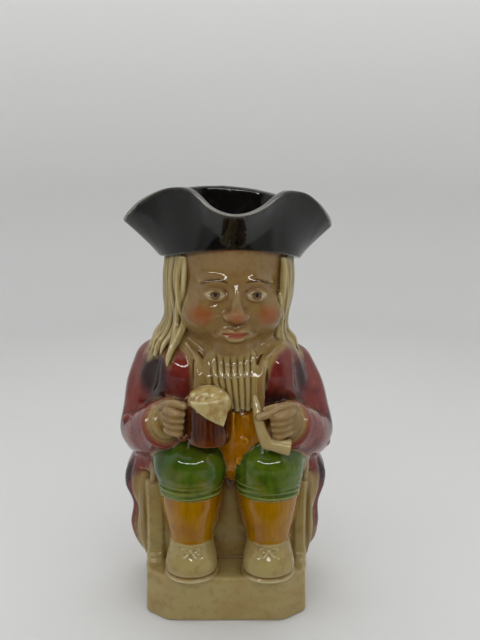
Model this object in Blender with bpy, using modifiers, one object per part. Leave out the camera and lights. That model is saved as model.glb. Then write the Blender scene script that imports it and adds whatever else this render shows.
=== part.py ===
"""Toby jug, 240 mm high: a seated man in a three-cornered hat, with a mug of ale and a clay pipe.

It is one slip-cast piece of glazed earthenware. The figure is hollow from its foot to the open hat,
which is the jug's mouth, and the front corner of the hat is the pouring lip. A loop handle stands at
the back. +Z is up, the figure faces -Y, and the origin is at the middle of the footprint.
"""
import math

import bmesh
import bpy
from mathutils import Euler, Matrix, Vector

# ---- Driving sizes, in millimetres and degrees; the helpers turn them into metres and radians ----
MM = 0.001

BASE_LEFT, BASE_RIGHT = -45.9, 44.5
BASE_FRONT = -43.3            # y of the base's front face
BASE_BACK = 42.0
BASE_HEIGHT = 26.3
BASE_CHAMFER = 11.0           # cut off each upright corner
BASE_EDGE = 1.8
FOOT_RIM = 8.0                # width of the flat ring that the jug stands on
FOOT_RECESS = 2.0             # how far the underside is hollowed inside that ring

SEAT_FRONT = -21.0
SEAT_HALF = 46.0
SEAT_TOP = 73.6
SEAT_ARM = 9.0                # width of each side panel

HEAD_TURN = 8.0               # the head looks a little to its left
HEAD_ROLL = 2.0
HEAD_MIDDLE = (0.5, 0.0, 178.0)

KNEE_Z = 91.0
KNEES = {-1: (-19.8, 20.0), 1: (23.0, 18.8)}     # side: (middle across, half width)
ANKLE_Z = 46.0
HEM_Z = 74.0

MUG_PLACE = (-9.1, -46.5, 108.6)
MUG_RADIUS = 12.0
MUG_HEIGHT = 21.8

VOXEL = 1.0                   # grain at which the modelled shapes are run together
FIGURE_TRIANGLES = 5600


# ---- Modelling helpers ----

def keyed(table, at):
    """Smooth values at a place between hand-set (place, value, ...) rows, passing through each row."""
    at = min(max(at, table[0][0]), table[-1][0])
    low = max(i for i in range(len(table) - 1) if i == 0 or table[i][0] <= at)
    before, start, end = table[max(low - 1, 0)], table[low], table[low + 1]
    after = table[min(low + 2, len(table) - 1)]
    span = end[0] - start[0]
    t = (at - start[0]) / span
    values = []
    for a, b, c, d in zip(before[1:], start[1:], end[1:], after[1:]):
        leave = (c - a) / (end[0] - before[0]) * span
        arrive = (d - b) / (after[0] - start[0]) * span
        values.append(b * (1 + 2 * t) * (1 - t) ** 2 + leave * t * (1 - t) ** 2
                      + c * t * t * (3 - 2 * t) + arrive * t * t * (t - 1))
    return values


def as_object(name, mesh, collection):
    made = bpy.data.objects.new(name, mesh)
    collection.objects.link(made)
    return made


def from_bmesh(name, bm):
    """A finished bmesh in millimetres, as an object in metres in the moulding collection."""
    bmesh.ops.recalc_face_normals(bm, faces=bm.faces)
    if bm.calc_volume(signed=True) < 0:
        bmesh.ops.reverse_faces(bm, faces=bm.faces)
    bmesh.ops.scale(bm, vec=(MM, MM, MM), verts=bm.verts)
    mesh = bpy.data.meshes.new(name)
    bm.to_mesh(mesh)
    bm.free()
    return as_object(name, mesh, moulding)


def ball(name, place, radii, turn=(0, 0, 0)):
    bm = bmesh.new()
    bmesh.ops.create_uvsphere(bm, u_segments=28, v_segments=18, radius=1)
    angles = Euler([math.radians(a) for a in turn])
    bmesh.ops.transform(bm, matrix=Matrix.LocRotScale(Vector(place), angles, Vector(radii)), verts=bm.verts)
    return from_bmesh(name, bm)


def cone(name, start, end, start_radius, end_radius, segments=32):
    """A round frustum between two points."""
    start, end = Vector(start), Vector(end)
    bm = bmesh.new()
    bmesh.ops.create_cone(bm, cap_ends=True, segments=segments, radius1=start_radius,
                          radius2=end_radius, depth=(end - start).length)
    spin = (end - start).to_track_quat("Z", "Y")
    bmesh.ops.transform(bm, matrix=Matrix.LocRotScale((start + end) / 2, spin, None), verts=bm.verts)
    return from_bmesh(name, bm)


def block(name, low, high, edge=0.0, corner=0.0):
    """A box with its upright corners cut off and its other edges rounded."""
    low, high = Vector(low), Vector(high)
    bm = bmesh.new()
    bmesh.ops.create_cube(bm, size=1)
    bmesh.ops.transform(bm, matrix=Matrix.LocRotScale((low + high) / 2, None, high - low), verts=bm.verts)
    if corner:
        upright = [e for e in bm.edges if abs((e.verts[0].co - e.verts[1].co).z) > 1]
        bmesh.ops.bevel(bm, geom=upright, offset=corner, segments=1, affect="EDGES")
    if edge:
        bmesh.ops.bevel(bm, geom=bm.edges[:], offset=edge, segments=2, profile=0.5, affect="EDGES")
    return from_bmesh(name, bm)


def rope(name, points, radii):
    """A round bar through the points, with its own radius at each, as a curve turned into a mesh."""
    curve = bpy.data.curves.new(name, "CURVE")
    curve.dimensions = "3D"
    curve.bevel_depth = MM
    curve.bevel_resolution = 4
    curve.resolution_u = 8
    curve.use_fill_caps = True
    spline = curve.splines.new("BEZIER")
    spline.bezier_points.add(len(points) - 1)
    for knot, point, radius in zip(spline.bezier_points, points, radii):
        knot.co = Vector(point) * MM
        knot.radius = radius
        knot.handle_left_type = knot.handle_right_type = "AUTO"
    drawn = as_object(name, curve, moulding)
    bpy.context.view_layer.update()
    mesh = bpy.data.meshes.new_from_object(drawn.evaluated_get(bpy.context.evaluated_depsgraph_get()))
    bpy.data.objects.remove(drawn)
    bm = bmesh.new()
    bm.from_mesh(mesh)
    bmesh.ops.remove_doubles(bm, verts=bm.verts, dist=0.00001)
    bm.to_mesh(mesh)
    bm.free()
    made = as_object(name, mesh, moulding)
    for place, radius in ((points[0], radii[0]), (points[-1], radii[-1])):
        ball(name + "_end", place, (radius,) * 3)
    return made


def loft(name, rings):
    """A closed skin over rings that all have the same number of points, lowest ring first."""
    bm = bmesh.new()
    rows = [[bm.verts.new(point) for point in ring] for ring in rings]
    count = len(rows[0])
    for lower, upper in zip(rows, rows[1:]):
        for i in range(count):
            j = (i + 1) % count
            bm.faces.new((lower[i], lower[j], upper[j], upper[i]))
    bm.faces.new(reversed(rows[0]))
    bm.faces.new(rows[-1])
    return from_bmesh(name, bm)


# ---- The hat, whose brim is the mouth of the jug ----
# Each row: angle round from the front (minus is towards -X), distance from the middle, height.
BRIM = (
    (-180, 42.5, 233.6), (-150, 42.8, 232.5), (-125, 44.0, 229.0), (-110, 48.6, 224.5),
    (-99, 55.4, 220.5), (-89, 60.6, 217.4), (-81, 59.2, 222.5), (-72, 54.4, 230.0),
    (-61, 48.0, 236.0), (-48, 43.0, 238.4), (-36, 42.0, 238.0), (-26, 44.0, 235.0),
    (-17, 47.5, 231.4), (-8, 50.5, 228.6), (0, 52.0, 227.7), (8, 50.5, 228.6),
    (17, 47.5, 231.6), (26, 43.8, 235.4), (35, 41.5, 238.0), (47, 42.0, 237.8),
    (60, 46.0, 235.2), (71, 51.6, 229.0), (80, 56.8, 221.8), (89, 59.0, 216.2),
    (98, 54.4, 219.0), (109, 48.0, 223.2), (125, 43.8, 228.5), (150, 42.8, 232.0), (180, 42.5, 233.6),
)
# Each row: angle round from the front, distance from the middle, height of the hat's lower edge.
BAND = ((-180, 34.4, 204.0), (-130, 36.4, 201.0), (-90, 38.2, 198.6), (-60, 36.8, 202.0), (-30, 34.8, 206.4),
        (0, 34.2, 207.6), (30, 35.2, 206.4), (60, 37.6, 202.0), (90, 39.2, 198.0), (130, 36.8, 201.0),
        (180, 34.4, 204.0))
HAT_RINGS = 7
HAT_WALL = 5.0                # level thickness of the sloping brim
LIP_ROUND = 0.9               # how far the rounded edge stands above the brim's two skins
MOUTH_FLOOR = 0.12            # share of the hat's height where the bowl meets the hollow head
# The hat's upright lines: at each row of the brim and half-way to the next one.
HAT_ANGLES = [low[0] + (high[0] - low[0]) * half for low, high in zip(BRIM, BRIM[1:]) for half in (0, 0.5)]


def round_the_head(angle, distance, height):
    """A point at an angle from the face's own front, turned and rolled with the head."""
    middle = Vector(HEAD_MIDDLE)
    a = math.radians(angle)
    local = Vector((math.sin(a) * distance, -math.cos(a) * distance, height - middle.z))
    turn = Matrix.Rotation(math.radians(HEAD_TURN), 3, "Z") @ Matrix.Rotation(math.radians(HEAD_ROLL), 3, "Y")
    return middle + turn @ local


def hat_ring(t, inset=0.0, lift=0.0):
    """One ring of the hat, t from 0 at the head to 1 at the brim; inset is the clay inside the outer skin."""
    ring = []
    for angle in HAT_ANGLES:
        rim_out, rim_z = keyed(BRIM, angle)
        band_out, band_z = keyed(BAND, angle)
        slant = (keyed(BRIM, angle + 1)[0] - keyed(BRIM, angle - 1)[0]) / math.radians(2) / rim_out
        distance = band_out + (rim_out - band_out) * t ** 1.15
        distance -= inset * min(1.8, math.hypot(1, slant * t))
        ring.append(round_the_head(angle, distance, band_z + (rim_z - band_z) * t + lift))
    return ring


def level_ring(radius, z):
    return [round_the_head(angle, radius, z) for angle in HAT_ANGLES]


def make_hat():
    """A three-cornered bowl: up the outside, over the rounded brim and down the inside to the crown."""
    outside = [hat_ring(i / HAT_RINGS) for i in range(HAT_RINGS + 1)]
    lip = [hat_ring(1, HAT_WALL * share, LIP_ROUND) for share in (0.22, 0.78)] + [hat_ring(1, HAT_WALL)]
    inside = [hat_ring(t, HAT_WALL) for t in (0.75, 0.5, 0.25, MOUTH_FLOOR)]
    return loft("hat", [level_ring(31.5, 196)] + outside + lip + inside + [level_ring(8, 205)])


# ---- The head, its face and its hair ----

def on_face(across, out, up):
    """A point given from the middle of the face: across, forward of the head's middle, and height."""
    return round_the_head(math.degrees(math.atan2(across, out)), math.hypot(across, out), up)


def make_head():
    turn = (0, HEAD_ROLL, HEAD_TURN)
    ball("skull", on_face(0, 2, 186), (31, 33, 34), turn)
    ball("jaw", on_face(0, 5, 172), (30.4, 27.6, 24.4), turn)
    ball("brow", on_face(0, 26, 191), (20, 8.0, 6), turn)
    ball("chin", on_face(0, 27.2, 154.6), (9.6, 6.4, 5.6), turn)
    rope("nose", [on_face(0, 33.0, 187), on_face(0, 36.5, 180), on_face(0, 39.6, 174)], (2.4, 2.9, 3.9))
    ball("mouth", on_face(0, 33.0, 163.5), (8.0, 3.4, 3.0), turn)
    for side in (-1, 1):
        ball("cheek", on_face(side * 14.5, 21.5, 171), (10.4, 10.4, 9.6), turn)
        ball("nostril", on_face(side * 4.4, 36.6, 172.6), (2.6, 3.2, 2.4), turn)
        ball("eye", on_face(side * 11.0, 28.0, 183.4), (5.8, 4.6, 3.4), turn)


HAIR_LOCKS = 11
HAIR_FROM, HAIR_TO = 60.0, 180.0     # angles round the head that the hair covers on each side


def make_hair():
    for side in (-1, 1):
        for i in range(HAIR_LOCKS):
            share = i / (HAIR_LOCKS - 1)
            angle = side * (HAIR_FROM + (HAIR_TO - HAIR_FROM) * share)
            sway = 2.2 * math.sin(i * 2.1)
            under_hat = keyed(BAND, angle)[1] - 5
            rope("lock", [
                round_the_head(angle, 31.0, under_hat),
                round_the_head(angle + sway, 32.4, 186),
                round_the_head(angle - sway, 31.5, 168),
                round_the_head(angle - side * 4, 34.5, 151),
                round_the_head(angle - side * 6, 38.0, 140 + 3 * math.sin(i * 3.7)),
            ], (3.6, 4.4, 4.4, 3.8, 1.2))


# ---- The coat: body, skirts, sleeves and cuffs ----
# Each row: height, reach to the mug's side, to the pipe's side, to the front and to the back.
COAT = ((14, 34, 32, 16, 36), (19, 42, 38, 20, 40), (25, 50.0, 46.5, 26, 44), (31, 54.5, 50.6, 29, 46),
        (42, 57.4, 53.6, 30, 47), (56, 58, 54.4, 31, 48), (66, 59, 55.6, 32, 48), (74, 58.4, 56, 31, 47),
        (84, 55.0, 53.0, 31, 44.5), (96, 52.5, 51, 33, 43), (112, 52.5, 50.5, 34, 43),
        (126, 52, 47.5, 33, 42), (137, 50, 43.5, 30, 40), (146, 45.5, 38, 27, 36),
        (153, 37.5, 32, 25, 31), (160, 30, 27, 21, 26))
COAT_SQUARE = 2.35            # 2 is an ellipse, more is squarer
SKIRT_FRONT = -17.5           # the skirts stop short at the seat's sides
SKIRT_TOP = 84.0
FOLDS = 13                    # upright folds in each skirt
COAT_POINTS = 104


def coat_ring(z):
    left, right, front, back = keyed(COAT, z)
    ring = []
    for i in range(COAT_POINTS):
        a = 2 * math.pi * i / COAT_POINTS
        c, s = math.cos(a), math.sin(a)
        x = (right if c > 0 else left) * math.copysign(abs(c) ** (2 / COAT_SQUARE), c)
        y = (back if s > 0 else front) * math.copysign(abs(s) ** (2 / COAT_SQUARE), s)
        low = min(1.0, max(0.0, (SKIRT_TOP - z) / 30))
        fold = 1 + 0.022 * low * math.sin(FOLDS * 2 * a + 0.05 * z)
        x, y = x * fold, y * fold
        if z < SKIRT_TOP:
            y = max(y, SKIRT_FRONT)
        ring.append((x, y, z))
    return ring


def make_coat():
    low, high = COAT[0][0], COAT[-1][0]
    steps = 48
    loft("coat", [coat_ring(low + (high - low) * i / steps) for i in range(steps + 1)])


# The middle of each arm from shoulder to wrist.
ARMS = {
    -1: ((-39, 5, 136), (-43.4, 2, 124), (-45, -3, 112),
         (-46.6, -8, 101.5), (-42, -23, 105), (-37.5, -32, 111)),
    1: ((35, 5, 133.5), (40.8, 2, 122), (43.6, -3, 111),
        (45.8, -8, 100.5), (42, -23, 104.5), (37.5, -32, 110.5)),
}


def make_sleeve(side):
    rope("sleeve", ARMS[side], (14.4, 14.3, 14.2, 14.2, 13.2, 12.2))
    cone("cuff", (side * 42, -22, 107), (side * 31.8, -40, 115.6), 12.4, 13.2)


def make_skirt_edge(side):
    """The turned-back front edge of each skirt, running down beside the knee and the seat."""
    rope("skirt_edge", [(side * 34, -33, 105), (side * 39, -28.6, 93), (side * 43, -23, 78),
                        (side * 46, -18.5, 64), (side * 46, -18, 44), (side * 44.5, -16.5, 30)],
         (2.8, 3.0, 2.8, 2.0, 1.8, 1.6))


# ---- The chest: waistcoat, neckcloth and lapels ----

# Each pleat of the neckcloth: its place across at the top and at its end, how low it ends, how far it stands.
PLEATS = ((-6.8, -2.6, 125.5, 0.0), (-3.2, 0.2, 124.2, 0.8), (0.4, 3.0, 125.0, 1.6), (4.0, 5.8, 123.8, 2.0),
          (7.4, 8.5, 124.8, 1.9), (10.8, 11.3, 123.9, 1.2), (14.2, 13.9, 125.2, 0.4))
BUTTONS = ((9.9, -41.8, 118.0), (9.4, -41.5, 106.5), (7.0, -39.2, 95.5))


def make_chest():
    for side in (-1, 1):
        ball("chest", (side * 23, -12.5, 137), (18.5, 20.5, 20))
    ball("belly", (7, -17, 110), (25, 24.5, 27))
    ball("breast", (5, -13, 136), (22, 20.5, 21))
    rope("waistcoat_hem", [(7, -34, 104), (3.6, -31.5, 92), (2.6, -26, 81)], (8.5, 7.0, 3.4))
    for top, end, low_end, stand in PLEATS:
        rope("pleat", [(top, -27 - stand, 150), (top * 0.4 + end * 0.6, -35.8 - stand, 134),
                       (end, -38 - stand, low_end)], (1.5, 1.9, 1.6))
    for x, y, z in BUTTONS:
        ball("button", (x, y, z), (2.0, 1.4, 2.0))
    rope("lapel", [(-24.5, -20.5, 156.5), (-15.6, -29.8, 147), (-14.4, -35.6, 134), (-13.6, -37.8, 120)],
         (1.6, 2.9, 3.2, 2.8))
    rope("lapel", [(30, -20, 153.5), (20.4, -30, 146), (18.0, -35.6, 133), (18.6, -37.8, 119)],
         (1.6, 2.5, 2.7, 2.4))


# ---- Legs: breeches, stockings and shoes ----

def make_leg(side):
    x, half = KNEES[side]
    rope("thigh", [(x, -28, KNEE_Z + 1), (x - side * 1.5, -2, KNEE_Z + 3)], (half - 2.2, half - 1.5))
    ball("knee", (x, -31, KNEE_Z), (half, 20.5, 15.5))
    cone("breeches_leg", (x, -31, HEM_Z), (x, -31, KNEE_Z - 1), 16.6, half - 0.6)
    cone("stocking", (x, -31.4, ANKLE_Z - 3), (x, -31.4, HEM_Z + 4), 12.4, 15.9)
    cone("calf", (x, -25, ANKLE_Z - 6), (x, -25, HEM_Z + 4), 13.4, 18.2)
    block("shoe", (x - 13.6, -46, BASE_HEIGHT - 2), (x + 13.6, -18, ANKLE_Z - 2), edge=5.0, corner=6.0)
    ball("toe", (x, -35.2, BASE_HEIGHT + 10.2), (14.0, 12.8, 10.2))
    cone("sole", (x, -33.6, BASE_HEIGHT - 2), (x, -33.6, BASE_HEIGHT + 1.6), 14.4, 14.4)
    rope("bow", [(x - 5, -46.4, 39.8), (x, -47.6, 38.6), (x + 5, -46.4, 39.8)], (1.4, 1.0, 1.4))


# ---- Hands, mug and pipe ----

def make_hand(palm, finger_rows, tip_x, knuckle_x, y):
    ball("palm", palm, (9.0, 8.0, 11.0))
    for z in finger_rows:
        rope("finger", [(knuckle_x, y + 4.0, z), (knuckle_x * 0.62 + tip_x * 0.38, y - 0.6, z),
                        (tip_x, y, z - 0.6)], (2.1, 2.2, 1.8))


def make_mug():
    x, y, z = MUG_PLACE
    bm = bmesh.new()
    bmesh.ops.create_cone(bm, cap_ends=True, segments=40, radius1=MUG_RADIUS, radius2=MUG_RADIUS - 0.6,
                          depth=MUG_HEIGHT)
    rims = [e for e in bm.edges if abs(e.verts[0].co.z - e.verts[1].co.z) < 0.1]
    bmesh.ops.bevel(bm, geom=rims, offset=1.2, segments=2, affect="EDGES")
    bmesh.ops.translate(bm, vec=(x, y, z + MUG_HEIGHT / 2), verts=bm.verts)
    from_bmesh("mug", bm)
    top = z + MUG_HEIGHT
    ball("foam", (x - 0.2, y + 0.4, top), (11.2, 11.6, 7.9))
    ball("foam_front", (x + 4.2, y - 4.5, top + 0.6), (7.6, 8.0, 5.8))
    rope("foam_drip", [(x + 3, y - 10.6, top), (x + 5.6, y - 10.4, top - 4.5), (x + 7.2, y - 9.8, top - 9.4)],
         (4.6, 2.8, 0.8))
    rope("mug_spike", [(x - 11, y - 2, top - 4), (x - 11.8, y - 2, top + 3)], (2.0, 0.9))
    rope("mug_handle", [(x - 10, y - 2, top - 3), (x - 16, y - 2, top - 6), (x - 17, y - 2, top - 14),
                        (x - 10, y - 2, top - 21)], (2.4, 2.4, 2.4, 2.2))


def make_pipe():
    rope("pipe_stem", [(14.9, -46, 132.6), (16.6, -49.4, 122.5), (18.4, -50.8, 115.5), (21, -51.6, 109.5)],
         (1.3, 2.5, 2.9, 3.3))
    cone("pipe_bowl", (19, -51.4, 109.4), (33.4, -51.8, 106.8), 2.8, 4.5)


# ---- Handle at the back ----
HANDLE = ((0, 34, 196), (0, 50, 199), (0, 66, 192), (0, 76.5, 172), (0, 79, 148), (0, 75, 122),
          (0, 64, 100), (0, 50, 86), (0, 40, 78))
HANDLE_RADII = (7.5, 6.4, 6.2, 6.2, 6.2, 6.2, 6.2, 6.6, 8.0)


def make_seat():
    block("seat", (4 - SEAT_HALF, SEAT_FRONT + 1.2, 20), (SEAT_HALF - 4, 20, SEAT_TOP - 3), edge=1.0)
    for side in (-1, 1):
        inner, outer = sorted((side * (SEAT_HALF - SEAT_ARM), side * SEAT_HALF))
        block("seat_side", (inner, SEAT_FRONT, 20), (outer, 14, SEAT_TOP), edge=2.6)
        block("seat_foot", (inner + 0.8, SEAT_FRONT - 6, 22), (outer - 0.8, 8, BASE_HEIGHT + 4), edge=1.6)


def run_together(parts):
    """All the moulded shapes as one closed skin, softened as slip and glaze soften it."""
    bm = bmesh.new()
    for part in parts:
        bm.from_mesh(part.data)
        bpy.data.objects.remove(part)
    mesh = bpy.data.meshes.new("toby_jug")
    bm.to_mesh(mesh)
    bm.free()
    figure = as_object("toby_jug", mesh, jug)
    grain = figure.modifiers.new("Run together", "REMESH")
    grain.mode = "VOXEL"
    grain.voxel_size = VOXEL * MM
    soft = figure.modifiers.new("Soften", "SMOOTH")
    soft.factor, soft.iterations = 0.5, 3
    settle(figure)
    thin = figure.modifiers.new("Thin", "DECIMATE")
    thin.ratio = FIGURE_TRIANGLES / sum(len(p.vertices) - 2 for p in figure.data.polygons)
    settle(figure)
    return figure


def settle(made):
    """Makes an object's modifiers part of its mesh."""
    bpy.context.view_layer.update()
    mesh = bpy.data.meshes.new_from_object(made.evaluated_get(bpy.context.evaluated_depsgraph_get()))
    made.modifiers.clear()
    made.data = mesh


# ---- The hollow inside ----
# Each row: height, half width, reach to the front, reach to the back.
HOLLOW = ((6, 34, 34, 32), (9, 37, 37, 35), (17, 37.5, 37, 36), (22, 37.5, 16, 37), (40, 41, 14, 40),
          (64, 43, 13, 42), (82, 42, 16, 39), (100, 41, 21, 37), (122, 41, 26, 36), (134, 38, 25, 34),
          (144, 32, 22, 29), (152, 25, 20, 24), (160, 23, 22, 25), (174, 25, 25, 27), (198, 27, 25.5, 27.5))
HOLLOW_SQUARE = 2.4
MOUTH_STEP = 0.4              # ledge left where the hollow opens into the hat


def hollow_ring(z):
    wide, front, back = keyed(HOLLOW, z)
    ring = []
    for angle in HAT_ANGLES:
        across, forward = math.sin(math.radians(angle)), math.cos(math.radians(angle))
        x = wide * math.copysign(abs(across) ** (2 / HOLLOW_SQUARE), across)
        reach = front if forward > 0 else back
        ring.append((x, -reach * math.copysign(abs(forward) ** (2 / HOLLOW_SQUARE), forward), z))
    return ring


def make_hollow():
    """The cutter for the inside: up through the base, the body and the head, and out at the hat."""
    inside = [hollow_ring(row[0]) for row in HOLLOW]
    mouth = [hat_ring(t, HAT_WALL + MOUTH_STEP) for t in (0.02, 0.3)]
    return loft("hollow", inside + mouth + [level_ring(8, 220)])


# ---- Putting the jug together ----

def combine(target, other, operation):
    """One exact Boolean on the jug; the other shape stays behind as a hidden guide."""
    cut = target.modifiers.new(other.name, "BOOLEAN")
    cut.object, cut.operation, cut.solver = other, operation, "EXACT"
    other.hide_render = True
    other.display_type = "WIRE"
    moulding.objects.unlink(other)
    cutters.objects.link(other)


def glaze(made):
    """One plain cream glaze all over, as the painting belongs to the finish."""
    cream = bpy.data.materials.new("cream_glaze")
    cream.use_nodes = True
    shader = cream.node_tree.nodes["Principled BSDF"]
    shader.inputs["Base Color"].default_value = (0.55, 0.45, 0.25, 1)
    shader.inputs["Roughness"].default_value = 0.12
    made.data.materials.append(cream)


for left_over in list(bpy.data.objects):
    bpy.data.objects.remove(left_over)
scene = bpy.context.scene
jug = bpy.data.collections.new("toby_jug")
moulding = bpy.data.collections.new("moulding")
cutters = bpy.data.collections.new("cutters")
for collection in (jug, moulding, cutters):
    scene.collection.children.link(collection)

make_head()
make_hair()
make_coat()
make_chest()
for side in (-1, 1):           # the figure's right and left
    make_sleeve(side)
    make_skirt_edge(side)
    make_leg(side)
make_hand((-30.6, -44.5, 121), (126.2, 122.7, 119.3, 115.9), -22.5, -31.5, -51.6)
make_hand((33.5, -43.5, 119.6), (123.9, 120.6, 117.2, 113.7), 24.2, 33.0, -50.8)
make_mug()
make_pipe()
make_seat()
rope("handle", HANDLE, HANDLE_RADII)
toby = run_together(list(moulding.objects))

base = block("base", (BASE_LEFT, BASE_FRONT, -3), (BASE_RIGHT, BASE_BACK, BASE_HEIGHT),
             edge=BASE_EDGE, corner=BASE_CHAMFER)
under = block("under", (-90, -90, -30), (90, 90, 0))
recess = block("foot_recess", (BASE_LEFT + FOOT_RIM, BASE_FRONT + FOOT_RIM, -4),
               (BASE_RIGHT - FOOT_RIM, BASE_BACK - FOOT_RIM, FOOT_RECESS), corner=BASE_CHAMFER * 0.8)
for shape, operation in ((base, "UNION"), (make_hat(), "UNION"), (make_hollow(), "DIFFERENCE"),
                         (under, "DIFFERENCE"), (recess, "DIFFERENCE")):
    combine(toby, shape, operation)

settle(toby)
corners = [Vector(corner) for corner in toby.bound_box]
low, high = Vector(map(min, *corners)), Vector(map(max, *corners))
toby.data.transform(Matrix.Translation(-Vector(((low.x + high.x) / 2, (low.y + high.y) / 2, low.z))))
glaze(toby)
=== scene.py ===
import itertools
import math

import bpy
import numpy as np
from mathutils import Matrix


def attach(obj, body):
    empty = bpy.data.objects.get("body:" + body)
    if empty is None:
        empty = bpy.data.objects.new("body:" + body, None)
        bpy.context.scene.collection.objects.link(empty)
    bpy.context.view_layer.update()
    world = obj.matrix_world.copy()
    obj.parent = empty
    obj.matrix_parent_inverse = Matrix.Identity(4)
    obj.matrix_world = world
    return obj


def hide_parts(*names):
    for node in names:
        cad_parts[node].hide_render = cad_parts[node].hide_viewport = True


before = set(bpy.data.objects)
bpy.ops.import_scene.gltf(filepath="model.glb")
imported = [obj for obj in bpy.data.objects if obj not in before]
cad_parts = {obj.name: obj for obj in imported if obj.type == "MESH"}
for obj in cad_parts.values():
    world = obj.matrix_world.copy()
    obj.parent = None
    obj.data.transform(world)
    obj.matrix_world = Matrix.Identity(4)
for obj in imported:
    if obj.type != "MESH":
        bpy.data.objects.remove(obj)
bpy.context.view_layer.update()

import openvdb
from mathutils import Matrix, Vector

# ---- The plot of clay ----
# The jug is cast in one piece, so it is modelled as one lump. The plot holds, every half millimetre,
# how far that place is from the clay's skin, less than nothing inside it. Sizes are in millimetres.
MM = 0.001
GRAIN = 0.5
FAR = 8.0
LEAST_REACH, MARGIN = 5.0, 1.5      # how far round a form the clay is worked, past its fillet
PLOT_LOW, PLOT_HIGH = (-63.0, -63.5, -3.0), (63.0, 89.0, 243.0)
across, deep, tall = (np.arange(low, high, GRAIN, dtype=np.float32)
                      for low, high in zip(PLOT_LOW, PLOT_HIGH))
clay = np.full((len(across), len(deep), len(tall)), FAR, np.float32)
painted = []


def places_near(low, high, reach):
    """The stretch of the plot within reach of a form, and the places along its three sides."""
    spans = tuple(slice(*np.searchsorted(row, (a - reach, b + reach)))
                  for row, a, b in zip((across, deep, tall), low, high))
    return spans, across[spans[0], None, None], deep[None, spans[1], None], tall[None, None, spans[2]]


def nothing_at(x, y, z):
    return np.full(np.broadcast_shapes(x.shape, y.shape, z.shape), FAR, np.float32)


def merge(one, other, soft):
    """The nearer of two skins, with a fillet where they meet, as wet clay has."""
    close = np.maximum(soft - np.abs(one - other), 0) / soft
    return np.minimum(one, other) - close * close * (soft / 4)


def press(form, glaze, soft=1.0, reach=None):
    """Presses a form on to the clay with a fillet and notes which glaze is brushed over it."""
    low, high, shape = form
    spans, x, y, z = places_near(low, high, reach or max(soft, LEAST_REACH) + MARGIN)
    clay[spans] = merge(clay[spans], shape(x, y, z), soft)
    painted.append((glaze, low, high, shape))


def detail(form, glaze, soft=0.8):
    press(form, glaze, soft, soft + 2)


def scoop(form, soft=0.8):
    """Cuts a form out of the clay."""
    low, high, shape = form
    spans, x, y, z = places_near(low, high, soft + MARGIN)
    clay[spans] = -merge(-clay[spans], shape(x, y, z), soft)


def brush(form, glaze, over=0.0, spread=1.0):
    """Glaze only, over clay that is already there, out to over / spread millimetres from the form."""
    low, high, shape = form
    painted.append((glaze, low, high, lambda x, y, z: np.maximum(shape(x, y, z) * spread - over, -2 * FAR)))


# ---- Base and seat ----
# A low block with its upright corners cut off, and on it the box of the seat, whose two side boards
# stand a little proud in front. Plain cream ware, rounded by the mould and the thick glaze.
BASE_MIDDLE, BASE_HALF, BASE_FRONT, BASE_BACK, BASE_TOP = -0.7, 45.4, -43.4, 42, 26.3
CUT_ACROSS, CUT_DEEP = 13.2, 10.2        # what each cut corner takes off the side and off the front
BASE_TAPER, BASE_EDGE, FOOT_EDGE = 0.02, 2.4, 1.8
SEAT_FRONT, SEAT_TOP = -21, 73


def slab(low, high, edge=1.0):
    """A box with rounded edges."""
    middle = [(a + b) / 2 for a, b in zip(low, high)]
    half = [(b - a) / 2 - edge for a, b in zip(low, high)]

    def shape(x, y, z):
        past = [np.abs(place - m) - h for place, m, h in zip((x, y, z), middle, half)]
        outside = np.sqrt(sum(np.maximum(p, 0) ** 2 for p in past))
        return outside + np.minimum(np.maximum(np.maximum(past[0], past[1]), past[2]), 0) - edge

    return low, high, shape


def within(one, other, soft):
    """What two forms share, its new edges rounded off."""
    return -merge(-one, -other, soft)


def base_shape(x, y, z):
    side = np.abs(x - BASE_MIDDLE) - BASE_HALF + BASE_TAPER * z
    ends = np.abs(y - (BASE_FRONT + BASE_BACK) / 2) - (BASE_BACK - BASE_FRONT) / 2 + BASE_TAPER * z
    corner = (side / CUT_ACROSS + ends / CUT_DEEP + 1) / math.hypot(1 / CUT_ACROSS, 1 / CUT_DEEP)
    upright = within(np.maximum(side, ends), corner, BASE_EDGE)
    return within(within(upright, z - BASE_TOP, BASE_EDGE), -z, FOOT_EDGE)


press(((-47, BASE_FRONT, 0), (46, BASE_BACK, BASE_TOP), base_shape), "cream")
press(slab((-41, SEAT_FRONT + 1.2, 20), (41, 24, 84), 2), "cream", 1.5)
for low_x, high_x in ((-45.6, -36.4), (38, 44.6)):
    press(slab((low_x, SEAT_FRONT, 24), (high_x, 12, SEAT_TOP + 1), 1.5), "cream")
    press(slab((low_x + 1, SEAT_FRONT - 4, 22), (high_x - 1, 6, BASE_TOP + 2), 1.2), "cream", 5)

# ---- Coat ----
# A full-skirted coat, closed behind and open down the front. The skirts spread over the seat in
# upright folds and stop beside its boards, where their edges turn back to show the cream lining.
# Each row: height, reach to the mug's side, to the pipe's side, to the front and to the back.
COAT = ((14, 34, 29, 16, 36), (19, 42, 35.5, 20, 40), (25, 49.4, 44.5, 26, 44), (31, 53.2, 49.8, 29, 46),
        (42, 56.4, 52.6, 30, 47), (56, 54.2, 51.8, 31, 48), (66, 57.2, 54, 32, 48.5),
        (74, 57.8, 55.4, 31, 47.5), (84, 55, 53, 31, 44.5), (96, 52.5, 51, 33, 43),
        (112, 52.5, 50.5, 34, 43), (126, 52, 47.5, 33, 42),
        (137, 50, 43.5, 30, 40), (146, 45.5, 38, 27, 36), (153, 37.5, 32, 25, 31), (160, 30, 27, 21, 26),
        (166, 22, 22, 16, 20))
COAT_SQUARE = 2.35
SKIRT_FRONT, SKIRT_TOP, WAIST_UP = -17.5, 84, 88
FOLDS, FOLD_DEPTH, HIP_SWELL, VENT_DEPTH, WAIST_DEPTH = 17, 2.3, 1.6, 1.3, 0.9

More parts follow.
